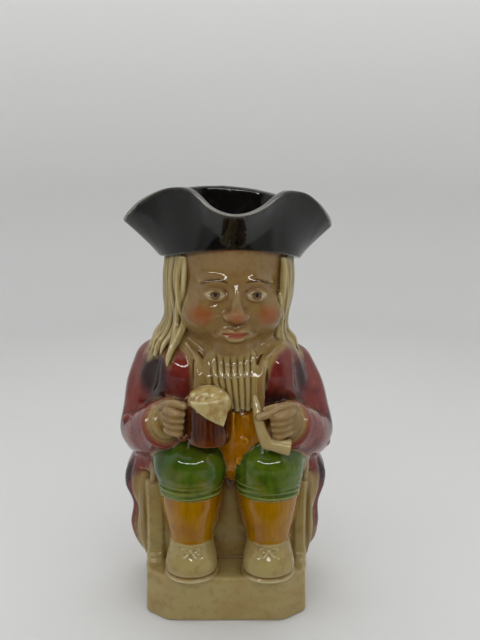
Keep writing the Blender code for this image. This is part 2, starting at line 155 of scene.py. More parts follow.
FINE_STEPS = 600


def keyed(rows):
    """A smooth curve through given rows of (place, value, ...), ready to be read at any places."""
    rows = np.array(rows, float)
    at, values = rows[:, 0], rows[:, 1:]
    slopes = np.gradient(values, at, axis=0)
    fine = np.linspace(at[0], at[-1], FINE_STEPS)
    low = np.clip(np.searchsorted(at, fine, "right") - 1, 0, len(at) - 2)
    span = at[low + 1] - at[low]
    t = ((fine - at[low]) / span)[:, None]
    curve = (values[low] * (1 + 2 * t) * (1 - t) ** 2 + values[low + 1] * t * t * (3 - 2 * t)
             + span[:, None] * (slopes[low] * t * (1 - t) ** 2 + slopes[low + 1] * t * t * (t - 1)))
    return lambda place: [np.interp(place, fine, column).astype(np.float32) for column in curve.T]


coat_at = keyed(COAT)


def rounded_square(x, y, wide, front, back, square):
    """Distance from an upright outline between an ellipse and a box."""
    reach = np.where(y < 0, front, back)
    share = ((np.abs(x) / wide) ** square + (np.abs(y) / reach) ** square) ** (1 / square)
    return np.hypot(x, y) * (1 - 1 / np.maximum(share, 0.05)) * 0.95


def bell(place, middle, spread):
    return np.exp(-((place - middle) / spread) ** 2)


def coat_shape(x, y, z):
    left, right, front, back = coat_at(z)
    skin = rounded_square(x, y, np.where(x < 0, left, right), front, back, COAT_SQUARE)
    skin = within(skin, np.maximum(COAT[0][0] + 2 - z, z - COAT[-1][0]), 4)
    angle = np.arctan2(y, np.abs(x))
    skirt = np.clip((SKIRT_TOP + 4 - z) / 22, 0, 1) * np.clip((z - 12) / 12, 0, 1)
    folds = (np.abs(np.sin(angle * FOLDS + 0.5 * np.sin(z / 17) + 0.9))
             + 0.35 * np.sin(angle * 9 - z / 21) - 0.62)
    skin = skin - FOLD_DEPTH * skirt * folds - HIP_SWELL * skirt * bell(z, 70, 11) * bell(angle, 0.1, 0.28)
    vent = bell(x, 0, 0.8) * (y > 0) * skirt
    waist = bell(z, WAIST_UP + 3 * np.cos(angle * 2), 2.6) * (y > 0)
    skin = skin + VENT_DEPTH * vent + WAIST_DEPTH * waist
    open_front = np.clip((SKIRT_TOP - z) / 4, 0, 1)
    return within(skin, open_front * (SKIRT_FRONT - y) - (1 - open_front) * 30, 2)


press(((-63, -36, COAT[0][0]), (61, 50, COAT[-1][0]), coat_shape), "coat")
ROLL_REACH = 7      # how far round each length of a roll it is worked out


def rolled(points, radii, bends=5):
    """A round strip rolled through the points, with its own thickness at each."""
    knots = np.linspace(0, len(points) - 1, (len(points) - 1) * bends + 1)
    line = np.column_stack(keyed(np.column_stack([np.arange(len(points)), points, radii]))(knots))
    fat = float(line[:, 3].max())
    room = fat + ROLL_REACH

    def one_length(places, a, b):
        run = b - a
        offs = [place - start for place, start in zip(places, a)]
        t = sum(off * r for off, r in zip(offs, run)) / max(run[:3] @ run[:3], 1e-6)
        t = np.clip(t, 0, 1)
        return np.sqrt(sum((off - t * r) ** 2 for off, r in zip(offs, run))) - (a[3] + t * run[3])

    def shape(x, y, z):
        skin = nothing_at(x, y, z)
        for a, b in zip(line, line[1:]):
            ends = list(zip((x, y, z), np.minimum(a, b) - room, np.maximum(a, b) + room))
            if x.ndim == 3:
                near = tuple(slice(*np.searchsorted(row.ravel(), (p, q))) for row, p, q in ends)
                some = one_length((x[near[0]], y[:, near[1]], z[:, :, near[2]]), a, b)
            else:
                near = np.all([(row > p) & (row < q) for row, p, q in ends], axis=0)
                some = one_length((x[near], y[near], z[near]), a, b)
            skin[near] = np.minimum(skin[near], some)
        return skin

    return line[:, :3].min(0) - fat, line[:, :3].max(0) + fat, shape


def mirrored(side, *points):
    return [(side * x, y, z) for x, y, z in points]


# Painted shade: brown laid between the shins on the seat's front, under the knees; and a browner tone
# round the foot of the base.
brush(slab((-10, SEAT_FRONT, 28), (14, SEAT_FRONT + 3, 76)), "shade_and_foot_brown")
brush(slab((-46, BASE_FRONT, -4), (45, BASE_BACK, 0.5)), "shade_and_foot_brown")

# The coat's turned-back edges: one band hugs each knee, and another runs down beside the boards.
press(rolled([(-31, -33, 107), (-33.6, -31, 101), (-37, -27.8, 92), (-40.6, -23.2, 80), (-42.6, -16.5, 69)],
             (2.6, 2.8, 2.8, 2.4, 1.2)), "lining", 3)
press(rolled([(36, -33, 107), (38.4, -31, 103), (41.6, -28, 94), (43.4, -24, 84), (43.4, -16.5, 71)],
             (2.4, 2.6, 2.6, 2.2, 1.2)), "lining", 3)
for side, out in ((-1, 47.6), (1, 46.8)):
    band = ((out - 1.6, -17, 76.5), (out, -17.8, 64), (out, -17.6, 44), (out - 1.6, -16.6, 29))
    press(rolled(mirrored(side, *band), (1.5, 1.5, 1.4, 1.2)), "lining", 2.2)

# ---- Legs ----
# Each leg is a round-kneed pair of breeches with a gathered hem, a stocking that narrows to the ankle,
# and a blunt shoe tied with a bow, whose welt just overhangs the front of the base.
KNEES = {-1: (-19.8, 20), 1: (23, 18.8)}       # side: (middle across, half width)
# Each gather of the hems: height, lean to one side, thickness.
GATHERS = ((1.4, 0.5, 0.9), (3.9, -1.3, 0.9), (6.2, 1.5, 0.8), (8.8, -0.9, 0.6))
HEM_UP, HEM_WIDE = 74.2, 17


def ball(centre, radii):
    """A ball of clay, flattened as the three radii say."""
    low = [c - r for c, r in zip(centre, radii)]
    high = [c + r for c, r in zip(centre, radii)]

    def shape(x, y, z):
        offs = [(place - c) / r for place, c, r in zip((x, y, z), centre, radii)]
        share = np.sqrt(sum(o * o for o in offs))
        slope = np.sqrt(sum((o / r) ** 2 for o, r in zip(offs, radii)))
        return share * (share - 1) / np.maximum(slope, 1e-3)

    return low, high, shape


def closed_off(wall, ends, edge):
    """A skin from its wall and its two ends, with the edge between them rounded."""
    wall, ends = wall + edge, ends + edge
    return np.hypot(np.maximum(wall, 0), np.maximum(ends, 0)) + np.minimum(np.maximum(wall, ends), 0) - edge


def turned(centre, rows, edge=1.0):
    """An upright round form from rows of (height, radius), as if turned on a wheel."""
    radius_at = keyed(rows)
    low_z, high_z = rows[0][0], rows[-1][0]
    fat = max(row[1] for row in rows)

    def shape(x, y, z):
        wall = np.hypot(x - centre[0], y - centre[1]) - radius_at(z)[0]
        return closed_off(wall, np.abs(z - (low_z + high_z) / 2) - (high_z - low_z) / 2, edge)

    return (centre[0] - fat, centre[1] - fat, low_z), (centre[0] + fat, centre[1] + fat, high_z), shape


for side, (x, half) in KNEES.items():
    press(rolled([(x, -28, 92), (x - side * 1.5, 0, 94)], (half - 2.5, half - 1.5)), "breeches", 2)
    knee = ball((x, -31, 91), (half + 0.3, 20.5, 15.5))
    press(knee, "breeches", 4)
    brush(knee, "breeches", 2, 4)
    press(turned((x, -31), ((73.4, 16.2), (76, 17), (81, 18), (88, half - 0.6), (92, half - 2))),
          "breeches", 3)
    shin = turned((x, -31.4), ((45.2, 11.3), (50, 12.2), (60, 14.2), (68, 15.6), (78, 15.9)), 0.5)
    calf = turned((x, -25), ((45.6, 12.4), (50, 13.8), (60, 16.2), (70, 17.8), (78, 18.2)), 0.8)
    press(shin, "stocking", 0.7)
    press(calf, "stocking", 0.8)
    for lift, lean, fat in GATHERS:
        out = HEM_WIDE + lift * 0.16
        bend = [(x + math.sin(a) * out, -31 - math.cos(a) * out,
                 HEM_UP + lift + lean * math.sin(1.6 * a + side * 0.6 + lift))
                for a in np.linspace(-1.5, 1.5, 7)]
        detail(rolled(bend, [0.3, fat, fat * 0.7, fat, fat * 0.8, fat, 0.3]), "breeches", 1.3)


def arch(middle, *rows):
    """A strip's points and radii, alike to both sides, from rows that start at its middle."""
    rows = [(-out, *rest) for out, *rest in rows[:0:-1]] + list(rows)
    return [(middle + out, y, z) for out, y, z, thick in rows], [row[3] for row in rows]


def front_at(x, z):
    """How far forward the clay's skin lies at a place."""
    here = clay[np.searchsorted(across, x), :, np.searchsorted(tall, z)]
    return float(deep[np.argmax(here < 0)])


# The shoes. Each row of their edges: out from the middle, front, height, radius.
WELT = ((0, -47.8, 26.8, 0.9), (8, -45.6, 26.8, 0.9), (13.2, -38.6, 26.8, 0.9), (14.2, -30, 26.8, 0.9))
GROOVE = ((0, -48.1, 28.9, 0.35), (8, -45.9, 28.9, 0.35), (13.4, -38.8, 28.9, 0.35),
          (14.4, -30, 28.9, 0.35))
TOP_EDGE = ((0, -42.6, 45.6, 0.9), (7.4, -39.4, 46.2, 0.9), (11.6, -31, 46.6, 0.9))
for side, (x, half) in KNEES.items():
    press(slab((x - 13.6, -46, 24.5), (x + 13.6, -18, 43), 9), "cream", 1.5)
    press(ball((x, -35.2, 31.5), (14.2, 13.4, 12.6)), "cream", 2.5)
    press(turned((x, -30.5), ((34, 13.4), (40, 12.8), (46.6, 11.8)), 2), "cream", 2)
    detail(rolled(*arch(x, *WELT)), "cream", 0.9)
    scoop(rolled(*arch(x, *GROOVE)), 1.2)
    detail(rolled(*arch(x, *TOP_EDGE)), "cream")
    top, low = front_at(x, 42.7), front_at(x, 39.4)
    for loop in (-1, 1):
        bow = [(x, top, 42.8), (x + loop * 2.4, top + 0.3, 44), (x + loop * 4.6, top + 0.9, 43.2),
               (x + loop * 2.8, top, 41.8), (x, top - 0.2, 42.4)]
        tail = [bow[-1], (x + loop * 2.4, low + 0.2, 40.6), (x + loop * 3.8, low + 0.4, 39.4)]
        detail(rolled(bow, (0.5, 0.7, 0.8, 0.7, 0.5)), "cream", 0.9)
        detail(rolled(tail, (0.5, 0.6, 0.4)), "cream", 0.9)
    detail(ball((x, top - 0.3, 42.6), (1.1, 1, 1.1)), "cream")

# ---- Waistcoat, neckcloth and lapels ----
# An ochre waistcoat buttoned over the belly and ending in a point between the knees, a pleated
# neckcloth over it, and the cream lapels of the coat on each side.
for side in (-1, 1):
    press(ball((side * 23, -12.5, 137), (18.5, 20.5, 20)), "coat", 6)
press(ball((7, -17, 110), (25, 24.5, 27)), "waistcoat", 3)
press(ball((5, -13, 136), (22, 20.5, 21)), "waistcoat", 4)
press(rolled([(7, -34, 104), (3.6, -31.5, 92), (2.4, -25.5, 80)], (9.5, 7.6, 3)), "waistcoat", 2.5)
detail(rolled([(3.6, -42.2, 122), (3, -41.2, 108), (2.6, -37.6, 95), (2.4, -30, 80)],
              (0.9, 1.1, 1, 0.7)), "waistcoat", 1.4)
detail(rolled([(16.5, -39.5, 116), (16, -38.5, 106), (11, -36.5, 96), (5, -31, 84)],
              (0.9, 1.1, 1.1, 0.7)), "waistcoat", 1.6)

for x, z in ((9.9, 118), (9.4, 106.5), (7.4, 95.5)):
    y = front_at(x, z)
    detail(ball((x, y, z), (2.6, 1, 2.6)), "waistcoat", 0.5)
    scoop(ball((x, y - 1.4, z), (1.5, 0.9, 1.5)), 0.9)

# Each pleat of the neckcloth: its place across at the top and at its end, how low it ends, and how
# far it stands out.
PLEATS = ((-6.8, -2.6, 125.5, 0), (-3.2, 0.2, 124.2, 0.8), (0.4, 3, 125, 1.6), (4, 5.8, 123.8, 2),
          (7.4, 8.5, 124.8, 1.9), (10.8, 11.3, 123.9, 1.2), (14.2, 13.9, 125.2, 0.4))
for top, end, low_end, stand in PLEATS:
    press(rolled([(top, -29 - stand, 150), (top * 0.85 + end * 0.15, -33.8 - stand, 142),
                  (top * 0.4 + end * 0.6, -36.8 - stand, 133), (end, -38.2 - stand, low_end)],
                 (1.3, 1.75, 1.75, 1.5)), "neckcloth", 0.45)
press(rolled([(-8.6, -30, 146), (-9.4, -33.6, 139), (-7, -36, 131)], (0.9, 2.3, 0.7)), "neckcloth", 0.6)
press(ball((4.5, -19.5, 139), (12, 15.2, 14.5)), "neckcloth", 0.8)
press(ball((-8.5, -20.5, 143), (6.5, 12, 11)), "neckcloth", 1.5)

# The coat's lapels: broad rolled edges, cream where the coat's colour stops short of them.
press(rolled([(-24.5, -20.5, 156.5), (-20, -25.2, 152), (-15.6, -29.8, 147), (-14.2, -33.6, 141),
              (-14.4, -36.2, 132), (-13.6, -37.8, 120)], (1.4, 2.2, 2.9, 3.3, 3.3, 2.8)), "lining", 3)
press(rolled([(30, -20, 153.5), (25.4, -24.6, 150), (20.4, -30, 146), (18.2, -33.6, 140),
              (17.8, -36.2, 131), (18.6, -37.8, 119)], (1.4, 2.1, 2.5, 2.7, 2.7, 2.4)), "lining", 3)
for edge_in in (((-21, -22.5, 154), (-14, -27.5, 149), (-11.6, -33, 139), (-11.4, -36, 126)),
                ((27, -20.5, 153), (18.6, -27, 149), (16, -33, 139), (16.2, -36, 126))):
    brush(rolled(edge_in, (3, 2.6, 1.6, 1.2)), "lining", 7, 4)
    scoop(rolled(edge_in, (0.1, 0.5, 0.8, 0.5)), 1.8)
brush(ball((23.8, -33, 126), (3.6, 10, 6)), "coat", 5, 4)
for near, far in (((-17.2, -31, 148), (-17.6, -36.2, 128)), ((21.2, -31.4, 146), (21.4, -36, 127))):
    scoop(rolled([near, [(a + b) / 2 for a, b in zip(near, far)], far], (0.3, 0.7, 0.4)), 1.6)

# ---- Sleeves and cuffs ----
# Full sleeves that bend round at the elbow and come forward to wide cuffs, open at the wrist so
# that the cream lining shows round each hand.
# The middle of each arm from shoulder to wrist, and how thick it is there.
ARMS = {-1: ((-39, 5, 136), (-43.4, 2, 124), (-45, -3, 112), (-46.6, -8, 101.5), (-42, -23, 105),
             (-37.5, -32, 111)),
        1: ((35, 5, 133.5), (40.8, 2, 122), (43.6, -3, 111), (45.8, -8, 100.5), (42, -23, 104.5),
            (37.5, -32, 110.5))}
ARM_THICK = (14.4, 14.3, 14.2, 14.2, 13.2, 12.2)


def cup(start, end, start_radius, end_radius, edge=1.0):
    """A round cone between two points, with softened ends."""
    start, end = np.array(start, float), np.array(end, float)
    length = float(np.linalg.norm(end - start))
    aim = (end - start) / length
    fat = max(start_radius, end_radius)

    def shape(x, y, z):
        x, y, z = x - start[0], y - start[1], z - start[2]
        along = x * aim[0] + y * aim[1] + z * aim[2]
        out = np.sqrt(np.maximum(x * x + y * y + z * z - along * along, 0))
        wall = out - (start_radius + (end_radius - start_radius) * along / length)
        return closed_off(wall, np.abs(along - length / 2) - length / 2, edge)

    return np.minimum(start, end) - fat, np.maximum(start, end) + fat, shape


# Creases of the sleeves and shoulders, given for one side: places, and how deep the middle cuts.
CREASES = ((((38.5, -22.5, 144), (42.6, -22.5, 136), (45, -20.5, 128), (46, -18, 121)),
            (1, 4.4, 3.6, 1)),
           (((33, -27, 125), (38.5, -25, 122), (44.5, -21, 120.5)), (0.6, 1.8, 0.6)),
           (((47, -23, 99.5), (53, -15, 97), (57, -5, 98)), (0.3, 1.4, 0.3)))
for side in (-1, 1):
    press(rolled(ARMS[side], ARM_THICK), "coat", 3.5)
    for places, depths in CREASES:
        scoop(rolled(mirrored(side, *places), depths), 6)
    press(cup(*mirrored(side, (42, -22, 107), (31.8, -40, 115.6)), 12.4, 13.2, 3.2), "coat", 1.5)
    mouth = cup(*mirrored(side, (34.6, -35.4, 114.2), (27.5, -47.8, 119.9)), 8.4, 9.8, 1.5)
    scoop(mouth, 2.6)
    brush(mouth, "lining", 3, 4)
    brush(mouth, "faint")
    press(cup(*mirrored(side, (40, -26, 110), (30.2, -43.8, 118.4)), 8.8, 9.2, 3), "lining", 2.2)
# A fold of the right sleeve lies over the wrist, behind the hand.
SLEEVE_FOLD = ((-43.5, -17, 114.5), (-38, -27, 120), (-29.5, -34, 123), (-21.5, -37.5, 122.5))
press(rolled(SLEEVE_FOLD, (3, 4.6, 4.4, 2.6)), "coat", 3)
# Painted shade: a dark purple-red brushed over the coat in its folds at the chest, the elbows and the
# skirts.
for place, size in (((-41.8, -24, 137.5), (10.4, 13, 13.5)), ((-40, -26, 122), (5, 6, 3.6)),
                    ((-57.5, -7, 76), (4, 9, 6.5)), ((55.5, -7, 76), (4, 9, 6.5)),
                    ((-60, -10, 100), (4, 9, 9)), ((43, -24, 137), (5.4, 13, 12)),
                    ((41, -26, 121), (6, 6, 3.6)), ((26, -34, 126), (7, 5, 4)),
                    ((60, -10, 101), (4, 9, 9)), ((-58, -4, 58), (3, 5, 22)),
                    ((55.5, -4, 56), (3, 5, 22)), ((-57, 14, 56), (3, 4, 18)),
                    ((54.5, 14, 54), (3, 4, 18)), ((0, 47, 88), (30, 4, 2))):
    brush(ball(place, size), "fold_shade")
# Where the coat is paler and nearer the cream: along the tops of the forearms; and where it was laid
# on thin, so that the cream shows, beside the seat's boards and round the hem.
brush(rolled(SLEEVE_FOLD, (2, 3.6, 3.6, 2)), "faint")
brush(ball((37.5, -29, 118), (9, 9, 4.5)), "faint")
for side, out in ((-1, 50.5), (1, 49.5)):
    brush(rolled(mirrored(side, (out, -16, 74), (out, -16, 50), (out - 2.5, -14, 28)), (2, 3, 5)), "faint")
brush(slab((-58, -30, 8), (56, 50, 27)), "faint")
for button in ((-55.4, -15.5, 109), (54.6, -16, 96.5)):
    detail(ball(button, (3.3, 3, 3.3)), "coat")
scoop(rolled([(-57.4, -18.6, 109), (-55.4, -18.9, 106.6), (-53.2, -18.8, 109), (-55.4, -18.9, 111.4),
              (-57.4, -18.6, 109)], (0.5,) * 5))

# ---- Hands, mug and pipe ----
# The right hand grips the handle of a mug of ale whose froth runs over; the left holds a short clay
# pipe, thumb and stem up, with the bowl resting on the knee.
MUG = (-9.1, -46.5)
MUG_RADIUS, MUG_FOOT, MUG_RIM = 12, 108.6, 130.4


def hand(side, wrist, heel, heel_size, knuckles, tips, rows, thumb):
    """A fist: the back of the hand, four fingers folded across in rows, and the thumb on top."""
    press(rolled([wrist, heel], (6, 6.6)), "skin", 1.5)
    press(ball(heel, heel_size), "skin", 2)
    for i, z in enumerate(rows):
        detail(rolled([(heel[0] + side * 1.5, heel[1] - 4.6, z + 0.9), (knuckles[0], knuckles[1], z + 0.7),
                       ((knuckles[0] + tips[0]) / 2, min(knuckles[1], tips[1]) - 0.9, z),
                       (tips[0] + side * 0.5 * i, tips[1], z - 0.7)], (2.2, 2.4, 2.25, 1.9)), "skin", 0.45)
    detail(rolled(thumb, (2.4, 2.5, 2.3, 2)), "skin", 0.6)


hand(-1, (-37, -34, 114), (-28.8, -43.6, 120.6), (5, 7.2, 9.8), (-30.2, -49.8), (-22.6, -51.4),
     (125.8, 122.4, 118.9, 115.5),
     ((-33, -44, 127), (-29.4, -47.8, 129.2), (-25.4, -49.8, 129.8), (-22, -50.4, 129)))
hand(1, (39, -33, 113), (32.6, -42.8, 119.4), (5.6, 7.2, 10), (32, -49.4), (24.2, -51),
     (123.9, 120.6, 117.2, 113.7),
     ((36, -42.5, 126), (30, -47.8, 127.2), (22.5, -51, 125.2), (17, -51.8, 123.6)))
detail(rolled([(31, -46.5, 128.6), (25, -48.8, 128.2), (20, -49.6, 127.2)], (1.4, 1.5, 1.2)), "skin", 0.6)

MUG_WALL = ((MUG_FOOT, MUG_RADIUS - 0.5), (MUG_FOOT + 4, MUG_RADIUS - 0.2), (MUG_RIM, MUG_RADIUS - 0.2))
press(turned(MUG, MUG_WALL, 1.4), "mug", 0.6)
for a in np.linspace(-1.35, 1.35, 8):
    stave = (MUG[0] + math.sin(a) * (MUG_RADIUS + 0.1), MUG[1] - math.cos(a) * (MUG_RADIUS + 0.1))
    scoop(rolled([(*stave, MUG_FOOT + 1.5), (*stave, MUG_FOOT + 12), (*stave, MUG_RIM)], (0.2, 0.4, 0.3)))
detail(rolled([(-21.6, -48.6, 122), (-21.8, -48.8, 127), (-20.6, -48.8, 131.5), (-19.2, -48.8, 134.6)],
              (1.2, 1.6, 1.5, 0.5)), "mug", 0.5)
detail(rolled([(-20.4, -50.5, 113), (-22.6, -51.5, 111.6), (-24.4, -51, 112.6)], (1.6, 1.6, 1.4)),
       "mug", 0.6)
# Corners of the run of froth: how far round the mug, and height.
FROTH = ((-10.2, 133.6), (11.4, 136), (8, 120.2))
FROTH_UP, FROTH_WIDE, FROTH_TALL = 130.5, 11.6, 7.9


def froth_shape(x, y, z):
    """A three-cornered sheet of froth that clings to the front of the mug."""
    out = np.hypot(x - MUG[0], y - MUG[1])
    along = np.arctan2(x - MUG[0], -(y - MUG[1])) * MUG_RADIUS
    sheet = -nothing_at(x, y, z)
    for (a, b), (c, d) in zip(FROTH, FROTH[1:] + FROTH[:1]):
        sag = 0.8 if abs(d - b) > 5 else 0
        edge = ((z - b) * (c - a) - (along - a) * (d - b)) / math.hypot(c - a, d - b)
        sheet = np.maximum(sheet, edge - sag * np.sin(np.clip((133 - z) / 12, 0, 1) * math.pi))
    return within(sheet, np.abs(out - MUG_RADIUS) - 1.9, 1.6)


press(ball((MUG[0] - 0.2, MUG[1] + 0.4, FROTH_UP), (11.2, FROTH_WIDE, FROTH_TALL)), "froth", 0.5)
press(ball((MUG[0] + 4.4, MUG[1] - 4.4, 131.2), (7.4, 7.8, 5.6)), "froth", 2.5)
detail(((MUG[0] - 12, MUG[1] - 15, 118), (MUG[0] + 14, MUG[1] - 2, 138), froth_shape), "froth", 1.2)
bubbles = np.random.default_rng(5)
for i in range(34):
    a, up = bubbles.uniform(-1.1, 1.1), bubbles.uniform(128.5, 136.5)
    out = math.sqrt(max(0.05, 1 - ((up - FROTH_UP) / FROTH_TALL) ** 2)) * FROTH_WIDE
    size = bubbles.uniform(0.8, 1.7)
    detail(ball((MUG[0] + math.sin(a) * out, MUG[1] - math.cos(a) * out, up), (size,) * 3), "froth")

press(rolled([(14.9, -46, 132.6), (15.6, -47.2, 128.5), (16.6, -49.4, 122.5)], (1.2, 2, 2.5)), "pipe", 0.5)
press(rolled([(16.8, -49.6, 121), (18.4, -50.8, 115.5), (21, -51.6, 109.5)], (2.6, 2.9, 3.4)), "pipe", 0.7)
press(cup((19, -51.4, 109.4), (33.4, -51.8, 106.8), 2.6, 4.5, 0.8), "pipe")
scoop(cup((33, -51.8, 106.9), (36, -51.9, 106.3), 3, 3.4, 0.4), 0.4)

# ---- Head and face ----
# A round head turned a little to the left under the hat: calm, eyes open, mouth closed. Brow,
# nose, lips and chin are pressed on and smoothed together, then the lids are opened with a tool.
HEAD_MIDDLE, HEAD_TURN, HEAD_ROLL = Vector((0.5, 0, 178)), 8, 2
head_pose = (Matrix.Rotation(math.radians(HEAD_TURN), 3, "Z")
             @ Matrix.Rotation(math.radians(HEAD_ROLL), 3, "Y"))
HEAD_AXES = np.array(head_pose, np.float32)


def head_places(x, y, z):
    """The same places as seen from the straight head."""
    x, y, z = x - HEAD_MIDDLE.x, y - HEAD_MIDDLE.y, z - HEAD_MIDDLE.z
    turned_back = [x * HEAD_AXES[0, i] + y * HEAD_AXES[1, i] + z * HEAD_AXES[2, i] for i in range(3)]
    return turned_back[0], turned_back[1], turned_back[2] + HEAD_MIDDLE.z


def head_line(points):
    """Points given on the straight head, turned and tilted with it."""
    return [tuple(head_pose @ Vector((a, b, c - HEAD_MIDDLE.z)) + HEAD_MIDDLE) for a, b, c in points]


def head_roll(points, radii):
    return rolled(head_line(points), radii)


def head_arch(*rows):
    return head_roll(*arch(0, *rows))


def on_head(form):
    """A whole form given on the straight head, turned and tilted with it."""
    low, high, shape = form
    corners = head_line(itertools.product(*zip(low, high)))
    return np.min(corners, 0), np.max(corners, 0), lambda x, y, z: shape(*head_places(x, y, z))


def flesh(form, soft):
    press(on_head(form), "skin", soft)


flesh(ball((0, -1.5, 184), (29.5, 31.5, 29)), 2)
flesh(turned((0, -0.5), ((184, 30), (192, 31.2), (200, 32), (211, 32.5)), 3), 3)
flesh(ball((0, -5, 172), (30.4, 27.6, 24.4)), 8)
flesh(ball((0, -4, 152), (21, 20, 10)), 3)
for side in (-1, 1):
    flesh(ball((side * 14.5, -21.5, 171), (10.8, 10.6, 9.6)), 7)
    flesh(ball((side * 11, -27.4, 190), (8.6, 5.2, 2.8)), 5)
flesh(ball((0, -27.2, 154.6), (9.6, 6.4, 5)), 7)
press(head_roll([(0, -30, 190), (0, -32.6, 185), (0, -35.8, 179), (0, -38.4, 174.4)], (2.6, 2.5, 3, 3.6)),
      "skin", 3.4)
flesh(ball((0, -38.4, 173.4), (4.3, 3.9, 3.6)), 2.2)
for side in (-1, 1):
    flesh(ball((side * 4.6, -35.6, 172.6), (2.7, 3.5, 2.5)), 2.2)
    scoop(on_head(ball((side * 2.5, -38, 170.2), (1.2, 1.8, 0.8))), 0.7)
flesh(ball((0, -31, 163.6), (10.5, 4.8, 6)), 4.5)
press(head_arch((0, -36, 164.4, 1.35), (3.4, -35.4, 164.9, 1.5), (7.8, -32.4, 164.2, 0.7)), "skin", 1.4)
press(head_arch((0, -35.7, 160.5, 1.9), (3, -35.2, 160.9, 1.7), (6.8, -32.8, 162.9, 0.7)), "skin", 1.2)
scoop(head_arch((0, -37.4, 162.5, 0.5), (3.8, -36.5, 162.8, 0.45), (8.2, -33, 164.2, 0.1)), 0.9)
scoop(head_roll([(0, -36.6, 168.8), (0, -37.2, 166.4)], (0.8, 1)), 1.4)
scoop(head_arch((0, -36.2, 156.9, 1.2), (5, -35, 157.4, 0.6)), 2.4)

EYE_OUT, EYE_UP = 11, 183.4
LID_RADIUS, LID_RISE = 8.6, 6.7         # the opening's two arcs: their radius, and how far apart they sit


def almond(x, z, side, grow=0.0):
    """Signed distance from the outline of an eye's opening, seen from the front."""
    x, z = x - side * EYE_OUT, z - EYE_UP - 0.04 * np.abs(x)
    return np.maximum(np.hypot(x, z + LID_RISE + 0.2), np.hypot(x, z - LID_RISE)) - LID_RADIUS - grow


for side in (-1, 1):
    out = side * EYE_OUT
    scoop(on_head(ball((out, -36.4, EYE_UP + 0.6), (7.8, 5, 5))), 3.4)
    flesh(ball((out, -26.8, EYE_UP), (7, 6.6, 5.2)), 1.8)

    def opening(x, y, z, side=side):
        return np.maximum(almond(x, z, side), np.maximum(y + 31.4, -y - 36))

    scoop(on_head(((out - 6, -37, EYE_UP - 4), (out + 6, -31, EYE_UP + 4), opening)), 0.5)
    detail(on_head(ball((out, -26.4, EYE_UP), (5.9, 6.1, 5.9))), "skin", 0.3)
    for lift, fat in ((1, 0.75), (-1, 0.6)):
        lid = [(out + side * a, -33.2 + 0.075 * a * a * (1 if a > 0 else 0.5),
                EYE_UP + lift * (2.3 - 0.072 * a * a) + 0.04 * a) for a in (-5.4, -3.6, -1.6, 0.6, 3, 5.2)]
        detail(head_roll(lid, (0.3, fat, fat, fat, fat, 0.3)), "skin", 1)
    fold = mirrored(side, (5.4, -32.4, 185.4), (8.6, -34.2, 187.6), (12, -34, 188), (17, -30.4, 185.4))
    scoop(head_roll(fold, (0.3, 0.6, 0.6, 0.3)), 1.2)
    crease = mirrored(side, (6.4, -36.6, 171), (9, -34.6, 166.8), (10.8, -32.2, 162.8))
    scoop(head_roll(crease, (0.4, 0.7, 0.4)), 2.4)


def from_front(form):
    """A form laid on the face from in front, whatever the face's depth there."""
    low, high, shape = form
    return (low[0], -38, low[2]), (high[0], -20, high[2]), lambda x, y, z: shape(x, 0 * y, z)


# Painted on the face: each eye's white, iris, pupil and lid line, the brows, the lips and the blush.
for side in (-1, 1):
    out = side * EYE_OUT
    brush(on_head(((out - 6, -36, EYE_UP - 4), (out + 6, -28, EYE_UP + 4),
                   lambda x, y, z, side=side: almond(x, z, side, -0.1))), "white")
    for name, size in (("iris", 2.7), ("pupil", 1.15)):
        brush(on_head(cup((out, -26, EYE_UP + 0.3), (out, -40, EYE_UP + 0.3), size, size, 0.2)), name)
    lashes = [(out + side * a, -32.8 + 0.09 * a * a, EYE_UP + 1.75 - 0.06 * a * a)
              for a in (-5.6, -3.6, -1.6, 0.6, 3, 5.4)]
    brush(head_roll(lashes, (0.3, 0.45, 0.5, 0.5, 0.5, 0.3)), "line")
    for i, a in enumerate(np.linspace(5.2, 17.6, 12)):
        up = 190 + 1.9 * math.sin((a - 4) / 14 * math.pi) - 0.05 * a
        hairs = rolled([(side * a, 0, up), (side * (a + 1.9), 0, up + 1.6 - 0.14 * i)], (0.5, 0.2))
        brush(on_head(from_front(hairs)), "brow")
    brush(on_head(ball((side * 17, -28, 172.5), (6.2, 8, 4.6))), "blush")
brush(head_arch((0, -36.4, 163.1, 1.9), (3.2, -35.9, 163.4, 1.7), (6.8, -33, 163.6, 0.6)), "lips")
brush(head_arch((0, -37, 162.5, 0.4), (3.8, -36.2, 162.8, 0.35), (8, -33, 164.2, 0.1)), "line")
brush(on_head(ball((0, -40, 172.6), (4.4, 4, 3.6))), "blush")

# ---- Hair ----
# Straight hair that falls from under the hat to the shoulders in long, overlapping locks, combed with
# a pointed tool and cut ragged. Each side has its own count of locks, its flare, its first angle, and
# how closely it lies against the neck.
HAIR_SIDES = {-1: (27, 3.4, 53, 1.4), 1: (28, 2, 50, 4.2)}
LOCK_THICK = (1.5, 1.9, 2.1, 2.1, 2, 1.5, 0.4)
COMB_ACROSS, COMB_DEPTH, HAIR_OUT = 1.5, 0.2, 34


def head_point(angle, distance, height):
    """A place on the straight head, at an angle round it from the middle of the face."""
    a = math.radians(angle)
    return math.sin(a) * distance, -math.cos(a) * distance, height


